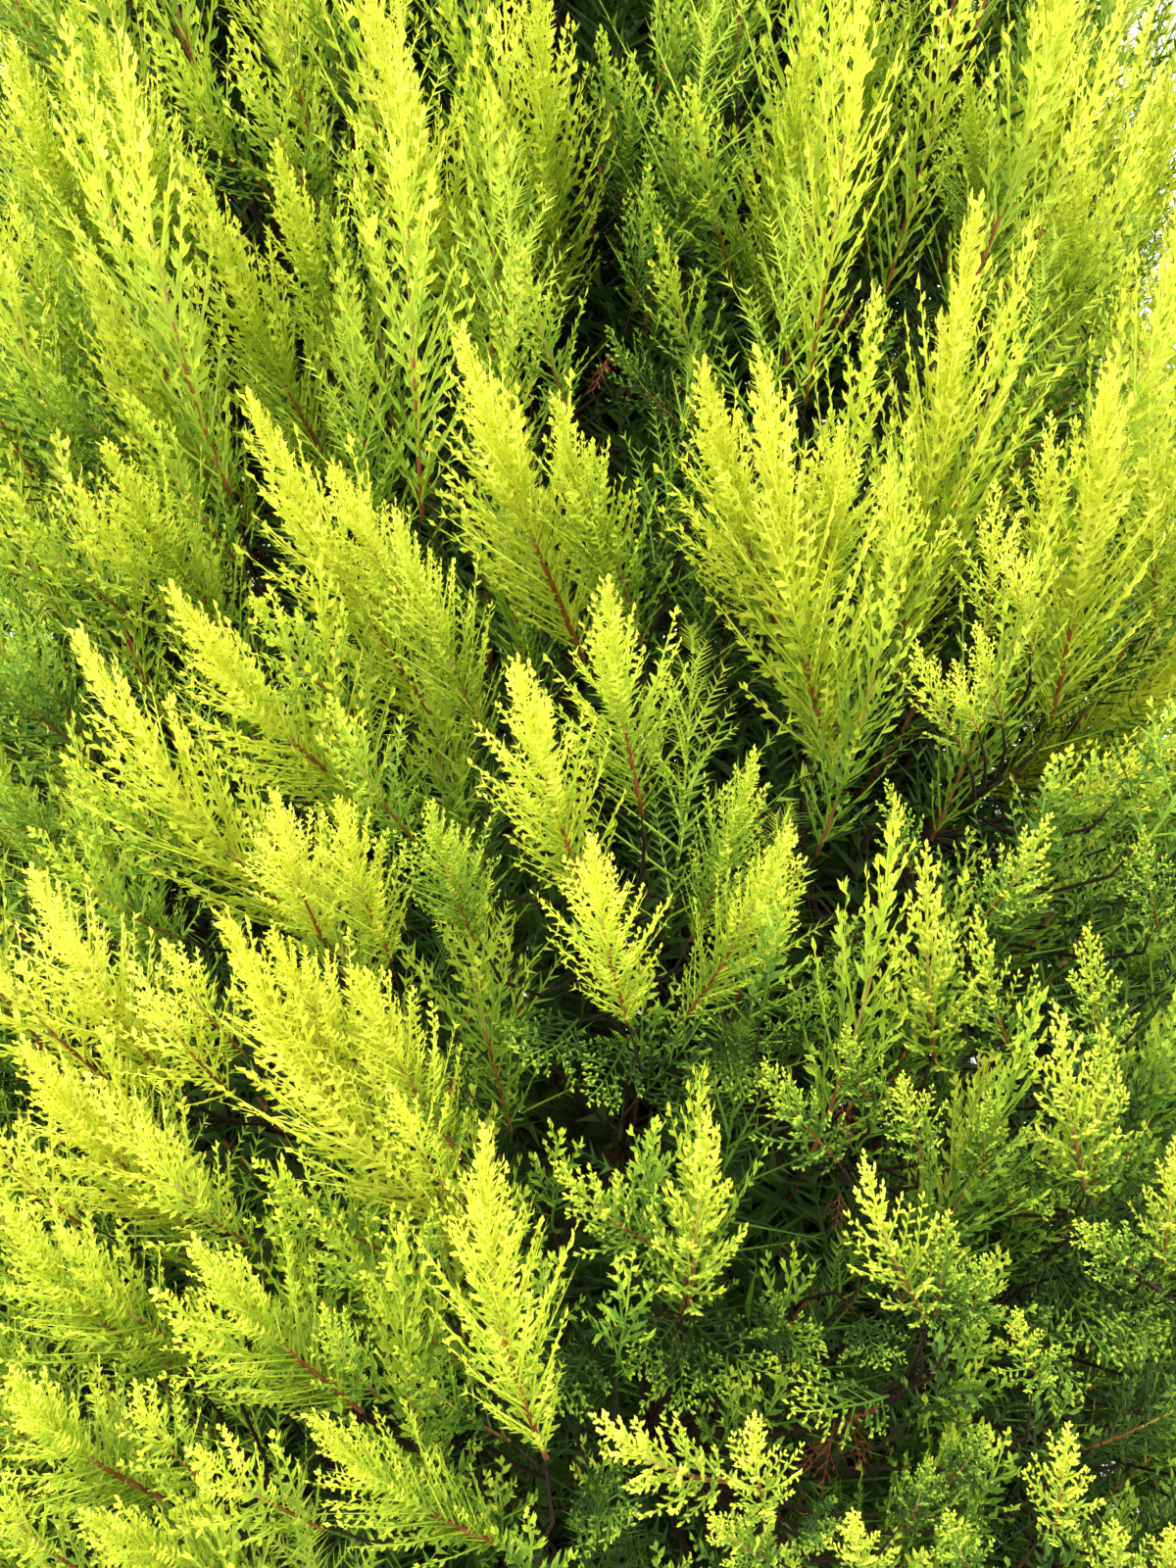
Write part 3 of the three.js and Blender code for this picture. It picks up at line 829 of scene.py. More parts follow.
def plant(prototypes, feet, tips, roll, width, bow, shade, pick):
    quarter = sideOf(tips)
    for q in range(len(sideNames)):
        for n, grown in enumerate(prototypes):
            for dim in np.unique(shade):
                rows = (quarter == q) & (pick == n) & (shade == dim)
                if not rows.any():
                    continue
                for part, mesh in grown.items():
                    made = placePlume(mesh, feet[rows], tips[rows], roll[rows], width[rows], bow[rows])
                    if part.startswith("tone"):
                        # painted shade: each step of shade turns a part one leaf colour darker, and a step
                        # below 0 one paler
                        tint = min(max(int(part[4:]) + int(dim), 0), len(leafMaterials) - 1)
                        leafBins.setdefault((q, tint), []).append(made)
                    else:
                        woodBins.setdefault((q, part), []).append(made)


# plumes that the photograph shows, by the picture's pixels: tip, foot, real length in millimetres,
# how far the tip stands out as a share of the crown's radius, shade (steps of painted shade, each a leaf
# colour darker, and below 0 paler where the light falls brightest)
facePlumes = {
    "feather": [
        # upper left
        ((100, 30), (215, 290), 190, 0.97, 0),
        ((10, 40), (120, 300), 190, 0.99, 0),
        ((190, 160), (352, 500), 190, 0.97, 0),
        ((280, 145), (372, 400), 150, 0.95, 0),
        ((372, -20), (500, 390), 200, 0.95, -1),
        ((545, -50), (575, 330), 200, 0.93, 0),
        ((82, 258), (255, 540), 180, 0.97, 0),
        ((104, 450), (232, 640), 160, 0.97, 0),
        ((250, 400), (458, 755), 200, 1.0, -1),
        ((337, 470), (440, 650), 130, 0.98, -1),
        ((403, 525), (500, 760), 140, 0.98, 0),
        ((467, 332), (595, 672), 190, 0.99, -1),
        ((566, 400), (640, 640), 140, 0.98, 0),
        ((171, 597), (390, 830), 180, 1.0, -1),
        ((74, 640), (355, 980), 200, 1.02, -1),
        # upper right
        ((826, 35), (772, 352), 180, 0.92, 0),
        ((885, -90), (882, 270), 200, 0.90, 1),
        ((1078, -70), (1055, 330), 210, 0.95, -1),
        ((988, 74), (1005, 270), 130, 0.93, 1),
        ((1106, 168), (1075, 345), 120, 0.95, 0),
        ((1196, 74), (1128, 345), 170, 0.96, 0),
        ((998, 200), (912, 705), 230, 1.0, -1),
        ((1136, 360), (1070, 745), 200, 1.0, -1),
        ((1170, 334), (1180, 640), 170, 0.99, -1),
        ((776, 360), (848, 800), 210, 1.0, -1),
        ((715, 367), (800, 660), 170, 0.98, -1),
        ((859, 431), (838, 620), 110, 0.98, -1),
        ((1300, 580), (1000, 812), 220, 0.98, -1),
        # middle
        ((618, 590), (655, 830), 150, 1.0, 0),
        ((525, 670), (600, 920), 160, 1.01, -1),
        ((771, 765), (705, 960), 110, 1.0, 1),
        ((809, 841), (697, 1040), 120, 1.01, 0),
        ((603, 851), (641, 1045), 130, 1.03, -1),
        ((439, 818), (485, 960), 110, 1.0, 1),
        ((345, 812), (400, 980), 120, 1.0, -1),
        ((278, 805), (330, 960), 120, 1.0, -2),
        ((225, 928), (485, 1268), 200, 1.02, -2),
        ((275, 950), (400, 1120), 140, 1.01, -2),
        ((360, 985), (470, 1180), 130, 1.0, -1),
        ((30, 885), (178, 1110), 170, 1.0, -2),
        ((20, 1060), (200, 1250), 160, 1.0, -2),
        # lower left
        ((495, 1147), (558, 1488), 150, 1.05, -1),
        ((194, 1264), (370, 1440), 150, 1.02, 0),
        ((5, 1230), (190, 1400), 150, 1.02, 0),
        ((314, 1443), (520, 1580), 120, 1.04, 0),
        ((82, 1545), (290, 1625), 150, 1.03, 0),
        ((10, 1400), (170, 1530), 150, 1.02, 0),
    ],
    "light": [
        # upper left
        ((53, 64), (200, 310), 180, 0.96, 1),
        ((148, 28), (290, 215), 160, 0.94, 1),
        ((67, -10), (180, 225), 170, 0.94, 1),
        ((-30, 170), (110, 400), 180, 0.98, 0),
        ((237, 30), (350, 250), 170, 0.92, 1),
        ((328, 204), (372, 330), 90, 0.92, 2),
        ((300, -40), (390, 150), 140, 0.90, 2),
        ((440, -60), (520, 200), 160, 0.92, 1),
        ((472, 66), (540, 330), 160, 0.90, 1),
        ((533, 255), (580, 420), 130, 0.92, 1),
        ((5, 380), (120, 490), 120, 0.95, 2),
        ((36, 372), (150, 480), 110, 0.95, 2),
        ((128, 403), (255, 590), 150, 0.96, 1),
        ((71, 490), (215, 660), 150, 0.97, 0),
        ((5, 500), (150, 640), 150, 0.97, 1),
        ((256, 608), (370, 740), 130, 0.98, 1),
        ((337, 712), (425, 860), 120, 0.99, 1),
        ((8, 615), (95, 760), 110, 0.95, 2),
        ((-60, 640), (103, 778), 170, 0.97, 2),
        ((66, 775), (240, 900), 150, 0.99, 1),
        ((34, 848), (190, 960), 140, 0.98, 1),
        ((0, 790), (80, 880), 100, 0.95, 2),
        # upper right
        ((613, 30), (635, 210), 120, 0.86, 2),
        ((645, 55), (640, 230), 130, 0.87, 2),
        ((690, -10), (689, 140), 120, 0.86, 2),
        ((728, 0), (732, 130), 110, 0.85, 3),
        ((682, 98), (705, 260), 120, 0.88, 2),
        ((702, 84), (750, 300), 150, 0.90, 1),
        ((662, 172), (645, 320), 110, 0.88, 2),
        ((620, 335), (690, 430), 80, 0.90, 3),
        ((1166, 135), (1120, 345), 150, 0.95, 1),
        ((1180, -60), (1170, 140), 150, 0.92, 2),
        ((1072, 425), (1062, 600), 120, 0.97, -1),
        ((672, 235), (725, 420), 130, 0.88, 1),
        ((900, 303), (880, 420), 90, 0.88, 2),
        ((603, 454), (655, 660), 140, 0.96, 1),
        ((1030, 545), (1054, 668), 90, 0.96, -1),
        ((1016, 494), (1006, 650), 110, 0.955, -1),
        ((973, 674), (1000, 748), 60, 0.96, -1),
        ((1215, 742), (1050, 826), 130, 0.975, -1),
        ((1190, 800), (1030, 846), 110, 0.965, 2),
        ((905, 470), (925, 650), 130, 0.955, -1),
        ((1200, 218), (1160, 430), 140, 0.96, -1),
        ((1230, 300), (1190, 520), 140, 0.97, 0),
        ((1152, 262), (1118, 450), 130, 0.95, 0),
        ((1196, 60), (1176, 260), 130, 0.95, 2),
        ((1232, 90), (1196, 330), 150, 0.98, 1),
        ((1230, 430), (1195, 620), 140, 0.98, -1),
        ((996, 636), (1025, 740), 80, 0.96, 0),
        ((934, 655), (985, 770), 90, 0.96, 0),
        # middle
        ((398, 1110), (455, 1215), 90, 1.02, -1),
        ((-45, 930), (120, 1110), 160, 1.0, -2),
        ((135, 985), (240, 1120), 120, 1.0, -2),
        ((168, 962), (250, 1075), 110, 0.99, -1),
        ((92, 1098), (240, 1245), 140, 1.0, -2),
        ((-40, 1120), (100, 1260), 140, 1.0, -2),
        # lower left
        ((140, 1150), (265, 1275), 130, 1.0, 0),
        ((60, 1250), (210, 1385), 130, 1.01, 0),
        ((160, 1318), (330, 1425), 130, 1.02, 0),
        ((328, 1333), (390, 1430), 80, 1.02, 1),
        ((262, 1186), (410, 1285), 120, 0.985, 1),
        ((318, 1236), (446, 1336), 110, 0.985, 1),
        ((372, 1300), (478, 1392), 100, 0.985, 1),
        ((405, 1378), (520, 1470), 100, 1.0, 2),
        ((194, 1479), (330, 1560), 120, 1.03, 0),
        ((135, 1412), (215, 1520), 110, 1.01, 0),
        ((-50, 1360), (60, 1490), 130, 1.0, 0),
        ((-30, 1500), (110, 1620), 140, 1.03, 0),
        # lower right
        ((1250, 1405), (1105, 1478), 110, 1.02, 3),
    ],
    "stout": [
        ((944, 871), (954, 1085), 110, 1.02, 0),
        ((1069, 836), (998, 940), 80, 1.0, 1),
        ((906, 800), (930, 890), 60, 0.97, 2),
        ((995, 933), (1040, 1090), 90, 1.01, 1),
        ((1110, 948), (1125, 1070), 85, 1.01, 1),
        ((1080, 1035), (1107, 1215), 100, 1.04, 0),
        ((1126, 1048), (1115, 1215), 90, 1.03, 1),
        ((1166, 848), (1182, 950), 75, 0.98, 2),
        ((863, 1050), (886, 1125), 60, 0.99, 2),
        ((781, 1086), (855, 1185), 75, 1.0, 2),
        ((921, 1098), (942, 1185), 65, 1.0, 1),
        ((1008, 1116), (1003, 1212), 65, 0.99, 2),
        ((720, 1140), (703, 1330), 100, 1.05, 0),
        ((570, 1190), (675, 1275), 85, 1.02, 1),
        ((881, 1183), (945, 1345), 95, 1.05, 0),
        ((967, 1241), (955, 1345), 70, 1.04, 2),
        ((1004, 1283), (990, 1345), 55, 1.03, 2),
        ((1037, 1338), (1062, 1410), 60, 1.02, 1),
        ((1198, 1168), (1187, 1290), 80, 1.03, 0),
        ((1100, 1249), (1165, 1300), 70, 1.02, 2),
        ((610, 1448), (745, 1512), 90, 1.06, 0),
        ((725, 1548), (790, 1592), 60, 1.05, 1),
        ((768, 1445), (781, 1545), 70, 1.06, 0),
        ((870, 1545), (885, 1625), 65, 1.06, 0),
        ((1090, 1458), (1075, 1565), 70, 1.06, 0),
        ((1136, 1555), (1150, 1640), 70, 1.06, 1),
        ((1195, 1560), (1202, 1640), 70, 1.05, 0),
        ((968, 1545), (1000, 1620), 65, 1.05, 2),
        ((948, 1490), (925, 1560), 55, 1.03, 3),
        ((1004, 1458), (965, 1515), 55, 1.02, 3),
    ],
    "frond": [  # in the shade between the others
        ((393, 1240), (450, 1330), 90, 0.99, 1),
        ((785, 1400), (700, 1340), 80, 0.98, 3),
        ((642, 1398), (690, 1345), 75, 0.98, 3),
        ((840, 1362), (765, 1345), 70, 0.98, 3),
        ((700, 1440), (690, 1365), 75, 0.97, 3),
        ((806, 1438), (906, 1424), 75, 1.0, 2),
        ((900, 1395), (880, 1340), 60, 0.98, 3),
        ((1106, 1418), (1035, 1338), 85, 1.0, 3),
        ((1132, 1388), (1065, 1268), 95, 0.98, 3),
        ((1185, 1380), (1120, 1310), 90, 0.97, 3),
        ((720, 1030), (650, 1120), 80, 0.97, 3),
        ((600, 1120), (640, 1060), 70, 0.98, 3),
        ((530, 1080), (590, 1040), 80, 0.97, 3),
        ((760, 1120), (740, 1050), 80, 0.96, 3),
        ((830, 1010), (800, 1080), 70, 0.97, 3),
        ((880, 1000), (860, 940), 70, 0.96, 3),
        ((1060, 1240), (1040, 1160), 80, 0.97, 3),
        ((560, 1440), (600, 1380), 80, 0.98, 3),
        ((640, 1560), (600, 1500), 80, 0.99, 3),
        ((840, 1580), (830, 1540), 60, 1.0, 3),
        ((430, 1150), (480, 1080), 80, 0.97, 3),
    ],
}

# how many plumes of each kind are grown, and the seed of the first
plumeCounts = {
    "feather": (4, 11),
    "stout": (4, 31),
    "light": (6, 51),
    "frond": (3, 41),
    "withered": (3, 46),
    "tuft": (4, 51),
    "body": (4, 61),
    "far": (5, 71),
    "spray": (4, 81),
    "deep": (3, 91),
}
plumes = {}
for kind, (count, seed) in plumeCounts.items():
    grow = growPlume if kind in plumeKinds else growFeathered
    plumes[kind] = [grow(kind, seed + k) for k in range(count)]
    print(" ", kind, "plume:", sum(len(mesh[1]) for mesh in plumes[kind][0].values()), "faces")

faceForm = {
    "tilts": {"feather": 1.30, "light": 1.35, "stout": 1.80, "frond": 2.00, "withered": 1.60},
    "breadths": {"feather": 1.15, "light": 1.15, "stout": 1.12, "frond": 0.90, "withered": 0.75},
    "roll": 0.7,  # either way from the side that faces the camera
    "bow": (0.02, 0.06),
    "width": (0.93, 1.07),
    # painted shade: the body plume inside each feather plume is this many leaf colours darker
    "bodyShade": 1,
}


# a plume on the picture: its tip is on the crown, and its foot lies on its own pixel's ray, on the far side,
# so that the plume's length is its kind's tilt times the shortest that joins the two rays;
# the real length gives its breadth
def facePlaces(rows, kind):
    tips = onCrown(np.array([row[0] for row in rows], float), np.array([row[3] for row in rows]))
    rays = pixelRays(np.array([row[1] for row in rows], float))
    offset = eye - tips
    a = (rays * rays).sum(1)
    b = (rays * offset).sum(1)
    shortest = (offset * offset).sum(1) - b * b / a
    long = faceForm["tilts"][kind] * np.sqrt(shortest)
    root = np.sqrt(a * (long ** 2 - shortest))
    feet = eye + ((-b + root) / a)[:, None] * rays
    return feet, tips, np.array([row[2] / 1000 for row in rows]) * faceForm["breadths"][kind] / long


twigEnds = []  # feet and tips of the plumes that a twig joins to the limbs
rng = np.random.default_rng(crown["seed"])
for kind, rows in facePlumes.items():
    count = len(rows)
    feet, tips, breadths = facePlaces(rows, kind)
    twigEnds.append((feet, tips))
    shades = np.array([row[4] for row in rows])
    sideOn = math.pi / 2 if plumeKinds[kind].get("flat") else 0
    roll = facingRoll(feet, tips) + sideOn + rng.uniform(-faceForm["roll"], faceForm["roll"], count)
    bow = rng.uniform(*faceForm["bow"], count)
    width = breadths * rng.uniform(*faceForm["width"], count)
    pick = rng.integers(0, len(plumes[kind]), count)
    plant(plumes[kind], feet, tips, roll, width, bow, shades, pick)
    if kind == "feather":
        plant(plumes["body"], feet, tips, roll, width, bow, shades + faceForm["bodyShade"], pick)
faceFeet, faceTips = (np.concatenate(ends) for ends in zip(*twigEnds))
print("face plumes:", len(faceTips))


# layers of plumes by the rule over the whole crown, from the outside in, and two that fill gaps: spacing,
# margins, salt of the draws, the tips' share of the outline, the longest plume, its share of the reach
ruleLayers = {
    "outer": {"pitch": 0.091, "margin": 0.012, "rowMargins": (0.004, 0.02), "salt": 1,
              "tips": 1.0, "longest": 0.18, "share": 0.40},
    "inner": {"pitch": 0.124, "margin": 0.02, "rowMargins": (0.01, 0.03), "salt": 2,
              "tips": 0.88, "longest": 0.175, "share": 0.38, "below": 2.42},
    "deep": {"pitch": 0.130, "margin": 0.02, "rowMargins": (0.01, 0.03), "salt": 3,
             "tips": 0.74, "longest": 0.20, "share": 0.45, "below": 2.40},
    "core": {"pitch": 0.175, "margin": 0.03, "rowMargins": (0.01, 0.03), "salt": 4,
             "tips": 0.54, "longest": 0.20, "share": 0.45},
    "fill": {"pitch": 0.040, "margin": 0.012, "rowMargins": (0.004, 0.02), "salt": 5,
             "tips": 0.95, "longest": 0.055, "share": 0.30},
    "edge": {"pitch": 0.075, "margin": 0.012, "rowMargins": (0.004, 0.02), "salt": 6,
             "tips": 0.90, "longest": 0.16, "share": 0.40},
}
ruleForm = {
    "upturn": 0.42,  # how far a plume turns up from its limb's own line
    "scatter": 0.045,  # metres over which starts and turns stray, so that rows and boughs run together
    "mostReach": 1.07,  # as a share of the outline's
    "inward": (0.9, 0.86, 0.62),  # start, turn and reach of the point that a plume comes from, as shares
    "lowestTip": 0.07,
    "lowestFoot": 0.05,
}


# foot = tip - length * direction, the direction being that of the rising curve, turned up
def rulePlaces(name):
    layer = ruleLayers[name]
    rows = []
    for i, cell in enumerate(cells):
        found = plumeSites(cell, layer, makeDraw(crown["seed"] * (i + 1) + layer["salt"]))
        rows += [(i, *site) for site in found]
    index, start, turn, reach = np.array(rows).T
    index = index.astype(int)
    shift = np.random.default_rng(len(rows)).uniform(-0.5, 0.5, (2, len(rows))) * ruleForm["scatter"]
    start, turn = start + shift[0], turn + shift[1] / reach
    reach = np.minimum(reach, ruleForm["mostReach"] * reachOf(np.minimum(start, crown["height"] - 0.05)))
    tips = limbPoint(start, turn, reach * layer["tips"])
    startShare, turnShare, reachShare = ruleForm["inward"]
    deep = limbPoint(mix(cellMiddle[index], start, startShare), mix(cellTurn[index], turn, turnShare),
                     reach * layer["tips"] * reachShare)
    heading = unit(unit(tips - deep) + ruleForm["upturn"] * upward)
    length = np.minimum(layer["longest"], 0.05 + reach * layer["share"])
    tips[:, 2] = np.maximum(tips[:, 2], ruleForm["lowestTip"])
    feet = tips - length[:, None] * heading
    feet[:, 2] = np.maximum(feet[:, 2], ruleForm["lowestFoot"])
    kept = tips[:, 2] < layer.get("below", math.inf)
    return feet[kept], tips[kept]


flatXY = np.array([1, 1, 0])  # leaves out the height


def towardsEye(points):  # 1 on the side of the crown that faces the camera, -1 on the far side
    return unit(points * flatXY) @ unit(eye * flatXY)


def between(values, ends):
    return (values > ends[0]) & (values < ends[1])


def inPicture(feet, tips, margin):  # whether a plume can show in the picture
    shows = np.zeros(len(tips), bool)
    for points in (feet, mix(feet, tips, 0.5), tips):
        x, y, depth = toPixels(points)
        inside = between(x, (-margin, picture["width"] + margin))
        inside &= between(y, (-margin, picture["height"] + margin))
        shows |= inside & (towardsEye(points) > 0.42) & (depth > 0.05)
    return shows


def nearestGap(points, others):  # each point's distance to the nearest of the others
    return np.sqrt(((points[:, None] - others[None]) ** 2).sum(-1)).min(1)


# the part of the picture that lies in shade, below and right of a line: down = top + slope * (right - left)
shadedPart = {"left": 430, "top": 1080, "slope": -0.5}


def inShade(tips):
    x, y, depth = toPixels(tips)
    return (x > shadedPart["left"]) & (y > shadedPart["top"] + shadedPart["slope"] * (x - shadedPart["left"]))


# dark hollows between the plumes, on the picture: left, top, right, bottom; the rule's outer plumes are left
# out there, and its inner ones there take one more step of painted shade
hollows = [(590, 40, 770, 570), (452, 540, 530, 660), (690, 780, 770, 870), (130, 680, 210, 780),
           (840, 1350, 980, 1460), (1080, 1290, 1230, 1460), (560, 1120, 700, 1300), (760, 1180, 860, 1300)]


def inHollow(feet, tips):
    found = np.zeros(len(tips), bool)
    for share in (0.35, 0.7, 1.0):
        x, y, depth = toPixels(mix(feet, tips, share))
        for left, top, right, bottom in hollows:
            found |= between(x, (left, right)) & between(y, (top, bottom))
    return found


shadeRule = {
    "bright": (-0.85, -0.53, 0.0),  # the crown's bright side is towards this
    "lowFrom": 1.35,
    "lowOver": 0.6,
    "thinFrom": 1.75,  # the crown is thin above this, and the light comes through
    "thinOver": 0.5,
    "thinSteps": 2.0,
}


# painted shade: steps of darker leaf colours, more on the side of the crown turned from the bright side, and
# more again towards the foot
def sideShade(tips, least, most, seed):
    away = 0.5 - 0.5 * unit(tips * flatXY) @ np.array(shadeRule["bright"])
    low = np.clip((shadeRule["lowFrom"] - tips[:, 2]) / shadeRule["lowOver"], 0, 1)
    value = mix(least, most, np.clip(away * (0.2 + 1.5 * low), 0, 1))
    return np.round(value + np.random.default_rng(seed).uniform(-0.5, 0.5, len(tips))).clip(-1, 6).astype(int)


def topLight(tips, shade):  # less shade near the crown's top
    thin = np.clip((tips[:, 2] - shadeRule["thinFrom"]) / shadeRule["thinOver"], 0, 1)
    return np.round(shade - shadeRule["thinSteps"] * thin).astype(int)


# how each group of places is planted: kind of plume, least and most shade, seed, least and most width;
# back moves the plumes back along themselves, and longest cuts them there
plantings = {
    "sides": {"kind": "far", "shades": (-0.6, 2.0), "seed": 6, "widths": (1.0, 1.3)},
    "face": {"kind": "light", "shades": (-0.5, 2.2), "seed": 4, "widths": (0.95, 1.15),
             "back": 0.035, "longest": 0.18},
    "faceInShade": {"kind": "tuft", "shades": (1.1, 2.8), "seed": 22, "widths": (1.1, 1.4),
                    "back": 0.030, "longest": 0.065},
    "faceCrowded": {"kind": "light", "shades": (0.2, 3.0), "seed": 24, "widths": (1.0, 1.2),
                    "back": 0.065, "longest": 0.16},
    "fill": {"kind": "tuft", "shades": (1.2, 3.6), "seed": 26, "widths": (1.1, 1.4)},
    "edge": {"kind": "far", "shades": (3, 3), "seed": 28, "widths": (1.1, 1.4), "twigs": False},
    "innerFace": {"kind": "spray", "shades": (1.6, 3.6), "seed": 18, "widths": (1.2, 1.6)},
    "innerInShade": {"kind": "spray", "shades": (4.0, 5.4), "seed": 28, "widths": (1.2, 1.6)},
    "innerSides": {"kind": "deep", "shades": (3, 3), "seed": 8, "widths": (1.3, 1.7), "topLight": True},
    "deepFace": {"kind": "far", "shades": (5, 5), "seed": 19, "widths": (1.4, 1.8)},
    "deepSides": {"kind": "deep", "shades": (5, 5), "seed": 9, "widths": (1.4, 1.8), "topLight": True},
    "core": {"kind": "deep", "shades": (6, 6), "seed": 20, "widths": (1.8, 2.3), "twigs": False},
    "leader": {"kind": "far", "shades": (0, 0), "seed": 12, "widths": (1.0, 1.2), "twigs": False},
}
ruleBow = (0.02, 0.08)


def plantRule(name, feet, tips, chosen, darker=0):
    form = plantings[name]
    feet, tips = feet[chosen], tips[chosen]
    if "back" in form:
        ahead = unit(tips - feet)
        long = np.minimum(np.linalg.norm(tips - feet, axis=1), form["longest"])
        tips = tips - ahead * form["back"]
        feet = tips - ahead * long[:, None]
    shade = sideShade(tips, *form["shades"], form["seed"]) + darker
    if form.get("topLight"):
        shade = topLight(tips, shade)
    if form.get("twigs", True):
        twigEnds.append((feet, tips))
    rule = np.random.default_rng(form["seed"] + 1)
    count = len(tips)
    prototypes = plumes[form["kind"]]
    plant(prototypes, feet, tips, rule.uniform(0, 6.28, count), rule.uniform(*form["widths"], count),
          rule.uniform(*ruleBow, count), shade, rule.integers(0, len(prototypes), count))


gaps = {
    "crowded": 0.05,  # closer than this to a face plume, the rule's own stands further back
    "fill": 0.018,  # small tufts keep this far from the face plumes
    "edgeFacing": (0.1, 0.8),  # the edges are filled where the crown turns this much towards the camera,
    "edgePixels": (470, 760),  # this far from the picture's middle line, and at these heights
    "edgeHeights": (0.6, 1.8),
}
# the outer layer: behind the face plumes the rule's own stand a little deeper and greener
feet, tips = rulePlaces("outer")
seen = inPicture(feet, tips, 40)
facePoints = np.concatenate([mix(faceFeet, faceTips, s) for s in (0.3, 0.65, 1.0)])
crowded = nearestGap(tips, facePoints) < gaps["crowded"]
shaded = inShade(tips)
clear = seen & ~inHollow(feet, tips)
plantRule("sides", feet, tips, ~seen)
plantRule("face", feet, tips, clear & ~crowded & ~shaded)
plantRule("faceInShade", feet, tips, clear & ~crowded & shaded)
plantRule("faceCrowded", feet, tips, clear & crowded)
print("outer plumes:", len(tips), "of which the camera sees", int(seen.sum()))

# small tufts fill the shaded part between its face plumes
feet, tips = rulePlaces("fill")
fills = inPicture(feet, tips, 40) & inShade(tips) & (nearestGap(tips, facePoints) > gaps["fill"])
plantRule("fill", feet, tips, fills)

# and plumes in half shade close the crown behind the picture's two edges
feet, tips = rulePlaces("edge")
fromMiddle = np.abs(toPixels(tips)[0] - picture["width"] / 2)
edges = (between(towardsEye(tips), gaps["edgeFacing"]) & between(fromMiddle, gaps["edgePixels"])
         & between(tips[:, 2], gaps["edgeHeights"]))
plantRule("edge", feet, tips, edges)
print("small tufts:", int(fills.sum()), "and behind the edges:", int(edges.sum()))

# the inner, deep and core layers, in painted shade: darker leaf colours the deeper they stand, near black in
# the core, and a step darker again for inner plumes in the dark hollows
feet, tips = rulePlaces("inner")
seen, shaded, hollow = inPicture(feet, tips, 60), inShade(tips), inHollow(feet, tips)
for name, chosen in (("innerFace", seen & ~shaded), ("innerInShade", seen & shaded)):
    plantRule(name, feet, tips, chosen, hollow[chosen])
plantRule("innerSides", feet, tips, ~seen)
print("inner plumes:", len(tips), "of which the camera sees", int(seen.sum()))
feet, tips = rulePlaces("deep")
seen = inPicture(feet, tips, 60)
plantRule("deepFace", feet, tips, seen)
plantRule("deepSides", feet, tips, ~seen)
print("deep plumes:", len(tips))
feet, tips = rulePlaces("core")
plantRule("core", feet, tips, slice(None))

# the leader: plumes in a spiral up the stem that carries on from the trunk's tip, and a spire
leader = {
    "plumes": 112,
    "tips": (2.34, 2.97),
    "drops": (0.25, 0.14),  # how far each plume's foot, on the stem, lies below its tip
    "share": 0.97,
    "reachSpread": (0.86, 1.0),
    "crowding": 0.95,
    "spire": 0.20,
    "stemTo": 2.93,
    "stemTip": 0.0015,  # the stem's radius there
    "seed": 12,
}


# tip on the outline at a rising height, foot on the axis below it
def plantLeader():
    count = leader["plumes"]
    share = np.arange(count) / (count - 1)
    turn = np.arange(count) * goldenAngle
    z = mix(*leader["tips"], share ** leader["crowding"])
    spread = np.random.default_rng(leader["seed"]).uniform(*leader["reachSpread"], count)
    reach = leader["share"] * crownRadiusAt(z) * spread
    middle = trunkCentre(trunkForm["top"]) * flatXY
    feet = middle + (z - mix(*leader["drops"], share))[:, None] * upward
    tips = middle + np.stack([reach * np.cos(turn), reach * np.sin(turn), z], -1)
    spire = middle + np.array([crown["height"] - leader["spire"], crown["height"]])[:, None] * upward
    plantRule("leader", np.vstack([feet, spire[:1]]), np.vstack([tips, spire[1:]]), slice(None))
    path = middle + np.linspace(trunkForm["top"] - 0.02, leader["stemTo"], 12)[:, None] * upward
    radii = np.linspace(trunkForm["topRadius"], leader["stemTip"], 12)
    woodBins.setdefault((0, "wood"), []).append(gather(*sweep(path[None], radii[None], 8, capFoot=True)))


plantLeader()

# withered red-brown scraps caught in the shade: tip, foot, length in millimetres, share of the crown's radius
deadSprays = [
    ((838, 1524), (852, 1448), 30, 0.99),
    ((818, 1500), (846, 1462), 22, 0.99),
    ((880, 1500), (866, 1440), 30, 0.99),
    ((896, 1436), (862, 1452), 20, 0.99),
    ((866, 1164), (858, 1124), 20, 0.99),
    ((853, 1256), (857, 1218), 20, 0.99),
    ((458, 1127), (463, 1098), 16, 0.99),
    ((604, 402), (622, 362), 26, 0.92),
    ((852, 338), (868, 312), 22, 0.91),
]


def plantDead():
    feet, tips, breadths = facePlaces(deadSprays, "withered")
    parts = []
    for n in range(len(deadSprays)):
        mesh = join(list(plumes["withered"][n % len(plumes["withered"])].values()))
        one = slice(n, n + 1)
        parts.append(placePlume(mesh, feet[one], tips[one], np.zeros(1), breadths[one], np.zeros(1)))
    points, faces = join(parts)
    makePiece("deadSprays", points, faces, woodMaterials["deadSpray"], [])


plantDead()

# twigs: coarse branches to the source's own plume roots, then a fine twig to the foot of every plume
twigForm = {
    "from": (0.42, 0.78),  # where branches leave a limb, as a share of its length
    "rootSpread": 0.64,  # how far a branch's bend lies from its limb towards its plume
    "rootReach": 0.6,  # and from the trunk towards the outline
    "along": 0.25,  # how far a branch runs on along its coarse plume
    "branchRadius": 0.0024,
    "branchTaper": 0.45,
    "branchRings": 9,
    "twigRadius": 0.0011,
    "twigTaper": 0.8,
    "twigRings": 5,
    "twigEnd": 0.01,  # how far a twig runs into its plume
    "twigBend": 0.45,
}


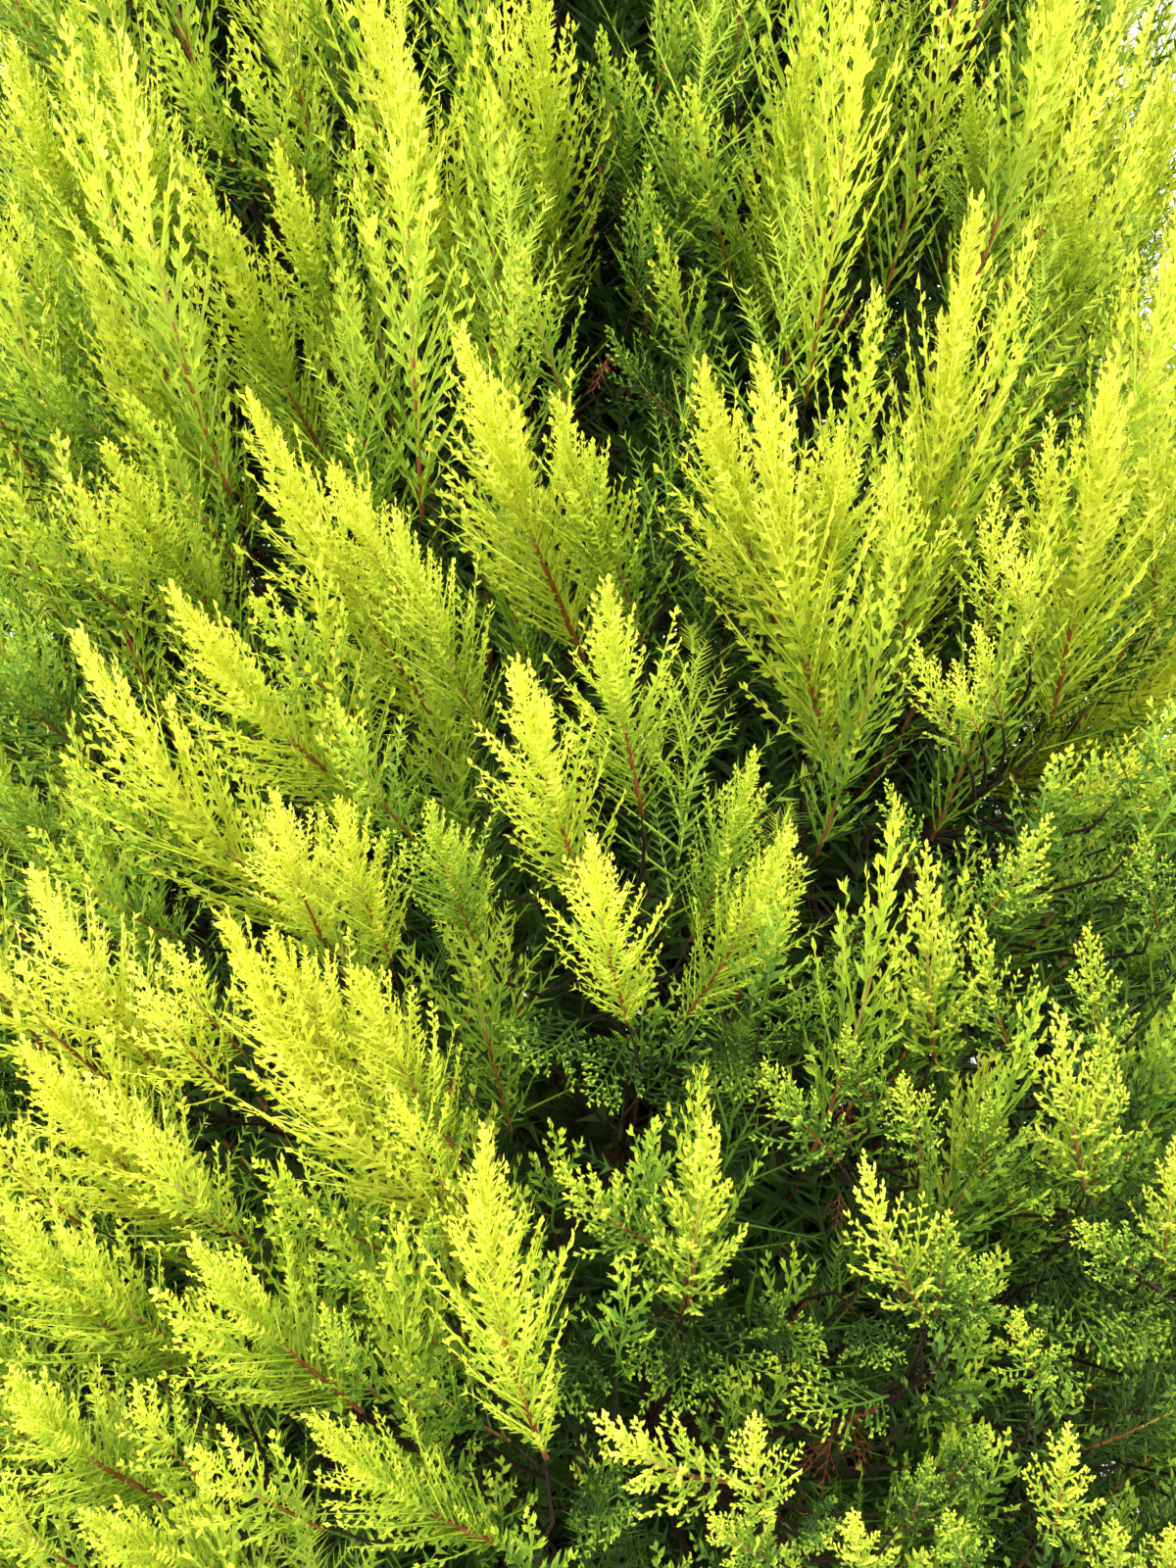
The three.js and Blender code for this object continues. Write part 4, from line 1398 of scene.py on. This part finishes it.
def curve(a, b, c, count):  # a quadratic curve: (1 - s)^2 a + 2 s (1 - s) b + s^2 c
    s = np.linspace(0, 1, count)[None, :, None]
    return (1 - s) ** 2 * a[:, None] + 2 * s * (1 - s) * b[:, None] + s ** 2 * c[:, None]


def taperTo(radius, taper, paths):  # radii that fall evenly to a share of the first
    return np.broadcast_to(radius * np.linspace(1, taper, paths.shape[1]), paths.shape[:2])


def coarseBranches():
    rows = []
    for i, cell in enumerate(cells):
        found = plumeSites(cell, sites, makeDraw(crown["seed"] * (i + 1)))
        rows += [(i, k / max(len(found) - 1, 1), *site) for k, site in enumerate(found)]
    index, order, starts, turns, reaches = np.array(rows).T
    index = index.astype(int)
    shares = mix(*twigForm["from"], (order * 7.3) % 1)
    foot = limbLine(index, shares[:, None])[:, 0]
    tips = limbPoint(starts, turns, reaches)
    spread = twigForm["rootSpread"]
    roots = limbPoint(mix(cellMiddle[index], starts, spread), mix(cellTurn[index], turns, spread),
                      cellReach[index] * twigForm["rootReach"])
    paths = curve(foot, roots, mix(roots, tips, twigForm["along"]), twigForm["branchRings"])
    radii = taperTo(twigForm["branchRadius"], twigForm["branchTaper"], paths)
    return paths, radii * np.clip(cellReach[index] / 0.5, 0.35, 1)[:, None]


# from each plume's foot back to the anchor that costs least: its distance,
# and more where it lies further out or higher than the foot
def joinTwigs(feet, tips, anchors):
    gap = feet[:, None] - anchors[None]
    apart = np.linalg.norm(gap, axis=-1)
    outside = np.hypot(anchors[:, 0], anchors[:, 1])[None] - np.hypot(feet[:, 0], feet[:, 1])[:, None] + 0.01
    cost = apart + 3 * np.maximum(outside, 0) + 2 * np.maximum(-gap[..., 2] + 0.01, 0)
    chosen = anchors[cost.argmin(1)]
    back = unit(tips - feet)
    reach = np.linalg.norm(feet - chosen, axis=1)[:, None]
    ends = feet + twigForm["twigEnd"] * back
    paths = curve(chosen, feet - twigForm["twigBend"] * reach * back, ends, twigForm["twigRings"])
    paths[:, :, 2] = np.maximum(paths[:, :, 2], crown["groundClear"] + 0.004)
    return paths, taperTo(twigForm["twigRadius"], twigForm["twigTaper"], paths)


branchPaths, branchRadii = coarseBranches()
limbAnchors = limbLine(np.arange(len(cells)), np.linspace(0.3, 0.98, 18)).reshape(-1, 3)
anchors = np.concatenate([branchPaths[:, 2:].reshape(-1, 3), limbAnchors])
twigPaths, twigRadii = joinTwigs(*[np.concatenate(ends) for ends in zip(*twigEnds)], anchors)
woodyLines = {"branches": (branchPaths, branchRadii, 5), "twigs": (twigPaths, twigRadii, 3)}
for name, values in woodyLines.items():
    points, faces = gather(*sweep(*values))
    makePiece(name, points, faces, woodMaterials["darkTwig"], [])
    print(name + ":", len(values[0]))

# each quarter's lime leaves replace the masses on that side
cellQuarter = sideOf(np.stack([np.cos(cellTurn), np.sin(cellTurn)], -1))
quarters = range(len(sideNames))
massesOf = [[name for name, side in zip(foliageNodes, cellQuarter) if side == q] for q in quarters]
massesOf[0].append("foliage_leader")
leafTotal = 0
for (q, tint), parts in sorted(leafBins.items()):
    points, faces = join(parts)
    leafTotal += len(faces)
    name = "leaves_" + sideNames[q] + "_" + leafColours[tint][0]
    replaced = massesOf[q] if leafColours[tint][0] == "lime" else []
    makePiece(name, points, faces, leafMaterials[tint], replaced)
    print(" ", name, len(faces))
axisWood = {"wood": woodMaterials["redTwig"], "shoot": woodMaterials["tanShoot"]}
for (q, part), parts in sorted(woodBins.items()):
    points, faces = join(parts)
    makePiece("plumeAxes_" + sideNames[q] + "_" + part, points, faces, axisWood[part], [])
print("leaf faces:", leafTotal)

# floor, light and camera
studio = {
    "floorSize": 30.0,
    "floorColour": "b6b5af",
    "worldColour": "f1f1ea",
    "worldStrength": 1.95,
    "key": {"place": (-2.2, -2.5, 4.0), "size": 2.6, "watts": 192},
    "fill": {"place": (3.2, -2.4, 2.2), "size": 3.0, "watts": 80},
    "back": {"place": (0.5, 4.0, 3.6), "size": 3.0, "watts": 120},
    "aim": (0, 0, 1.3),  # the lights point here
}


def makeFloor():
    half = studio["floorSize"] / 2
    mesh = bpy.data.meshes.new("floor")
    corners = [(-half, -half, 0), (half, -half, 0), (half, half, 0), (-half, half, 0)]
    mesh.from_pydata(corners, [], [(0, 1, 2, 3)])
    material = bpy.data.materials.new("floorPaint")
    material.use_nodes = True
    shader = material.node_tree.nodes["Principled BSDF"]
    shader.inputs["Base Color"].default_value = linear(studio["floorColour"])
    shader.inputs["Roughness"].default_value = 0.9
    mesh.materials.append(material)
    floor = bpy.data.objects.new("floor", mesh)
    bpy.context.scene.collection.objects.link(floor)


def makeLight(name):
    values = studio[name]
    light = bpy.data.lights.new(name, "AREA")
    light.shape = "DISK"
    light.size = values["size"]
    light.energy = values["watts"]
    holder = bpy.data.objects.new(name, light)
    place = np.array(values["place"])
    aim = np.array(studio["aim"]) - place
    flat = math.hypot(aim[0], aim[1])
    holder.location = place
    holder.rotation_euler = (math.atan2(flat, -aim[2]), 0, math.atan2(aim[1], aim[0]) - math.pi / 2)
    bpy.context.scene.collection.objects.link(holder)


def makeWorld():
    world = bpy.data.worlds.new("studio")
    world.use_nodes = True
    sky = world.node_tree.nodes["Background"]
    sky.inputs["Color"].default_value = linear(studio["worldColour"])
    sky.inputs["Strength"].default_value = studio["worldStrength"]
    bpy.context.scene.world = world


def makeCamera():
    data = bpy.data.cameras.new("camera")
    data.lens = picture["lens"]
    data.sensor_width = picture["sensor"]
    data.sensor_fit = "AUTO"
    data.clip_start = 0.01
    camera = bpy.data.objects.new("camera", data)
    camera.location = picture["place"]
    camera.rotation_euler = (math.radians(90 + picture["pitch"]), 0, -math.radians(picture["yaw"]))
    bpy.context.scene.collection.objects.link(camera)
    bpy.context.scene.camera = camera


makeFloor()
for lightName in ("key", "fill", "back"):
    makeLight(lightName)
makeWorld()
makeCamera()
bpy.context.scene.view_settings.view_transform = "Standard"
print("stage, lights and camera done")
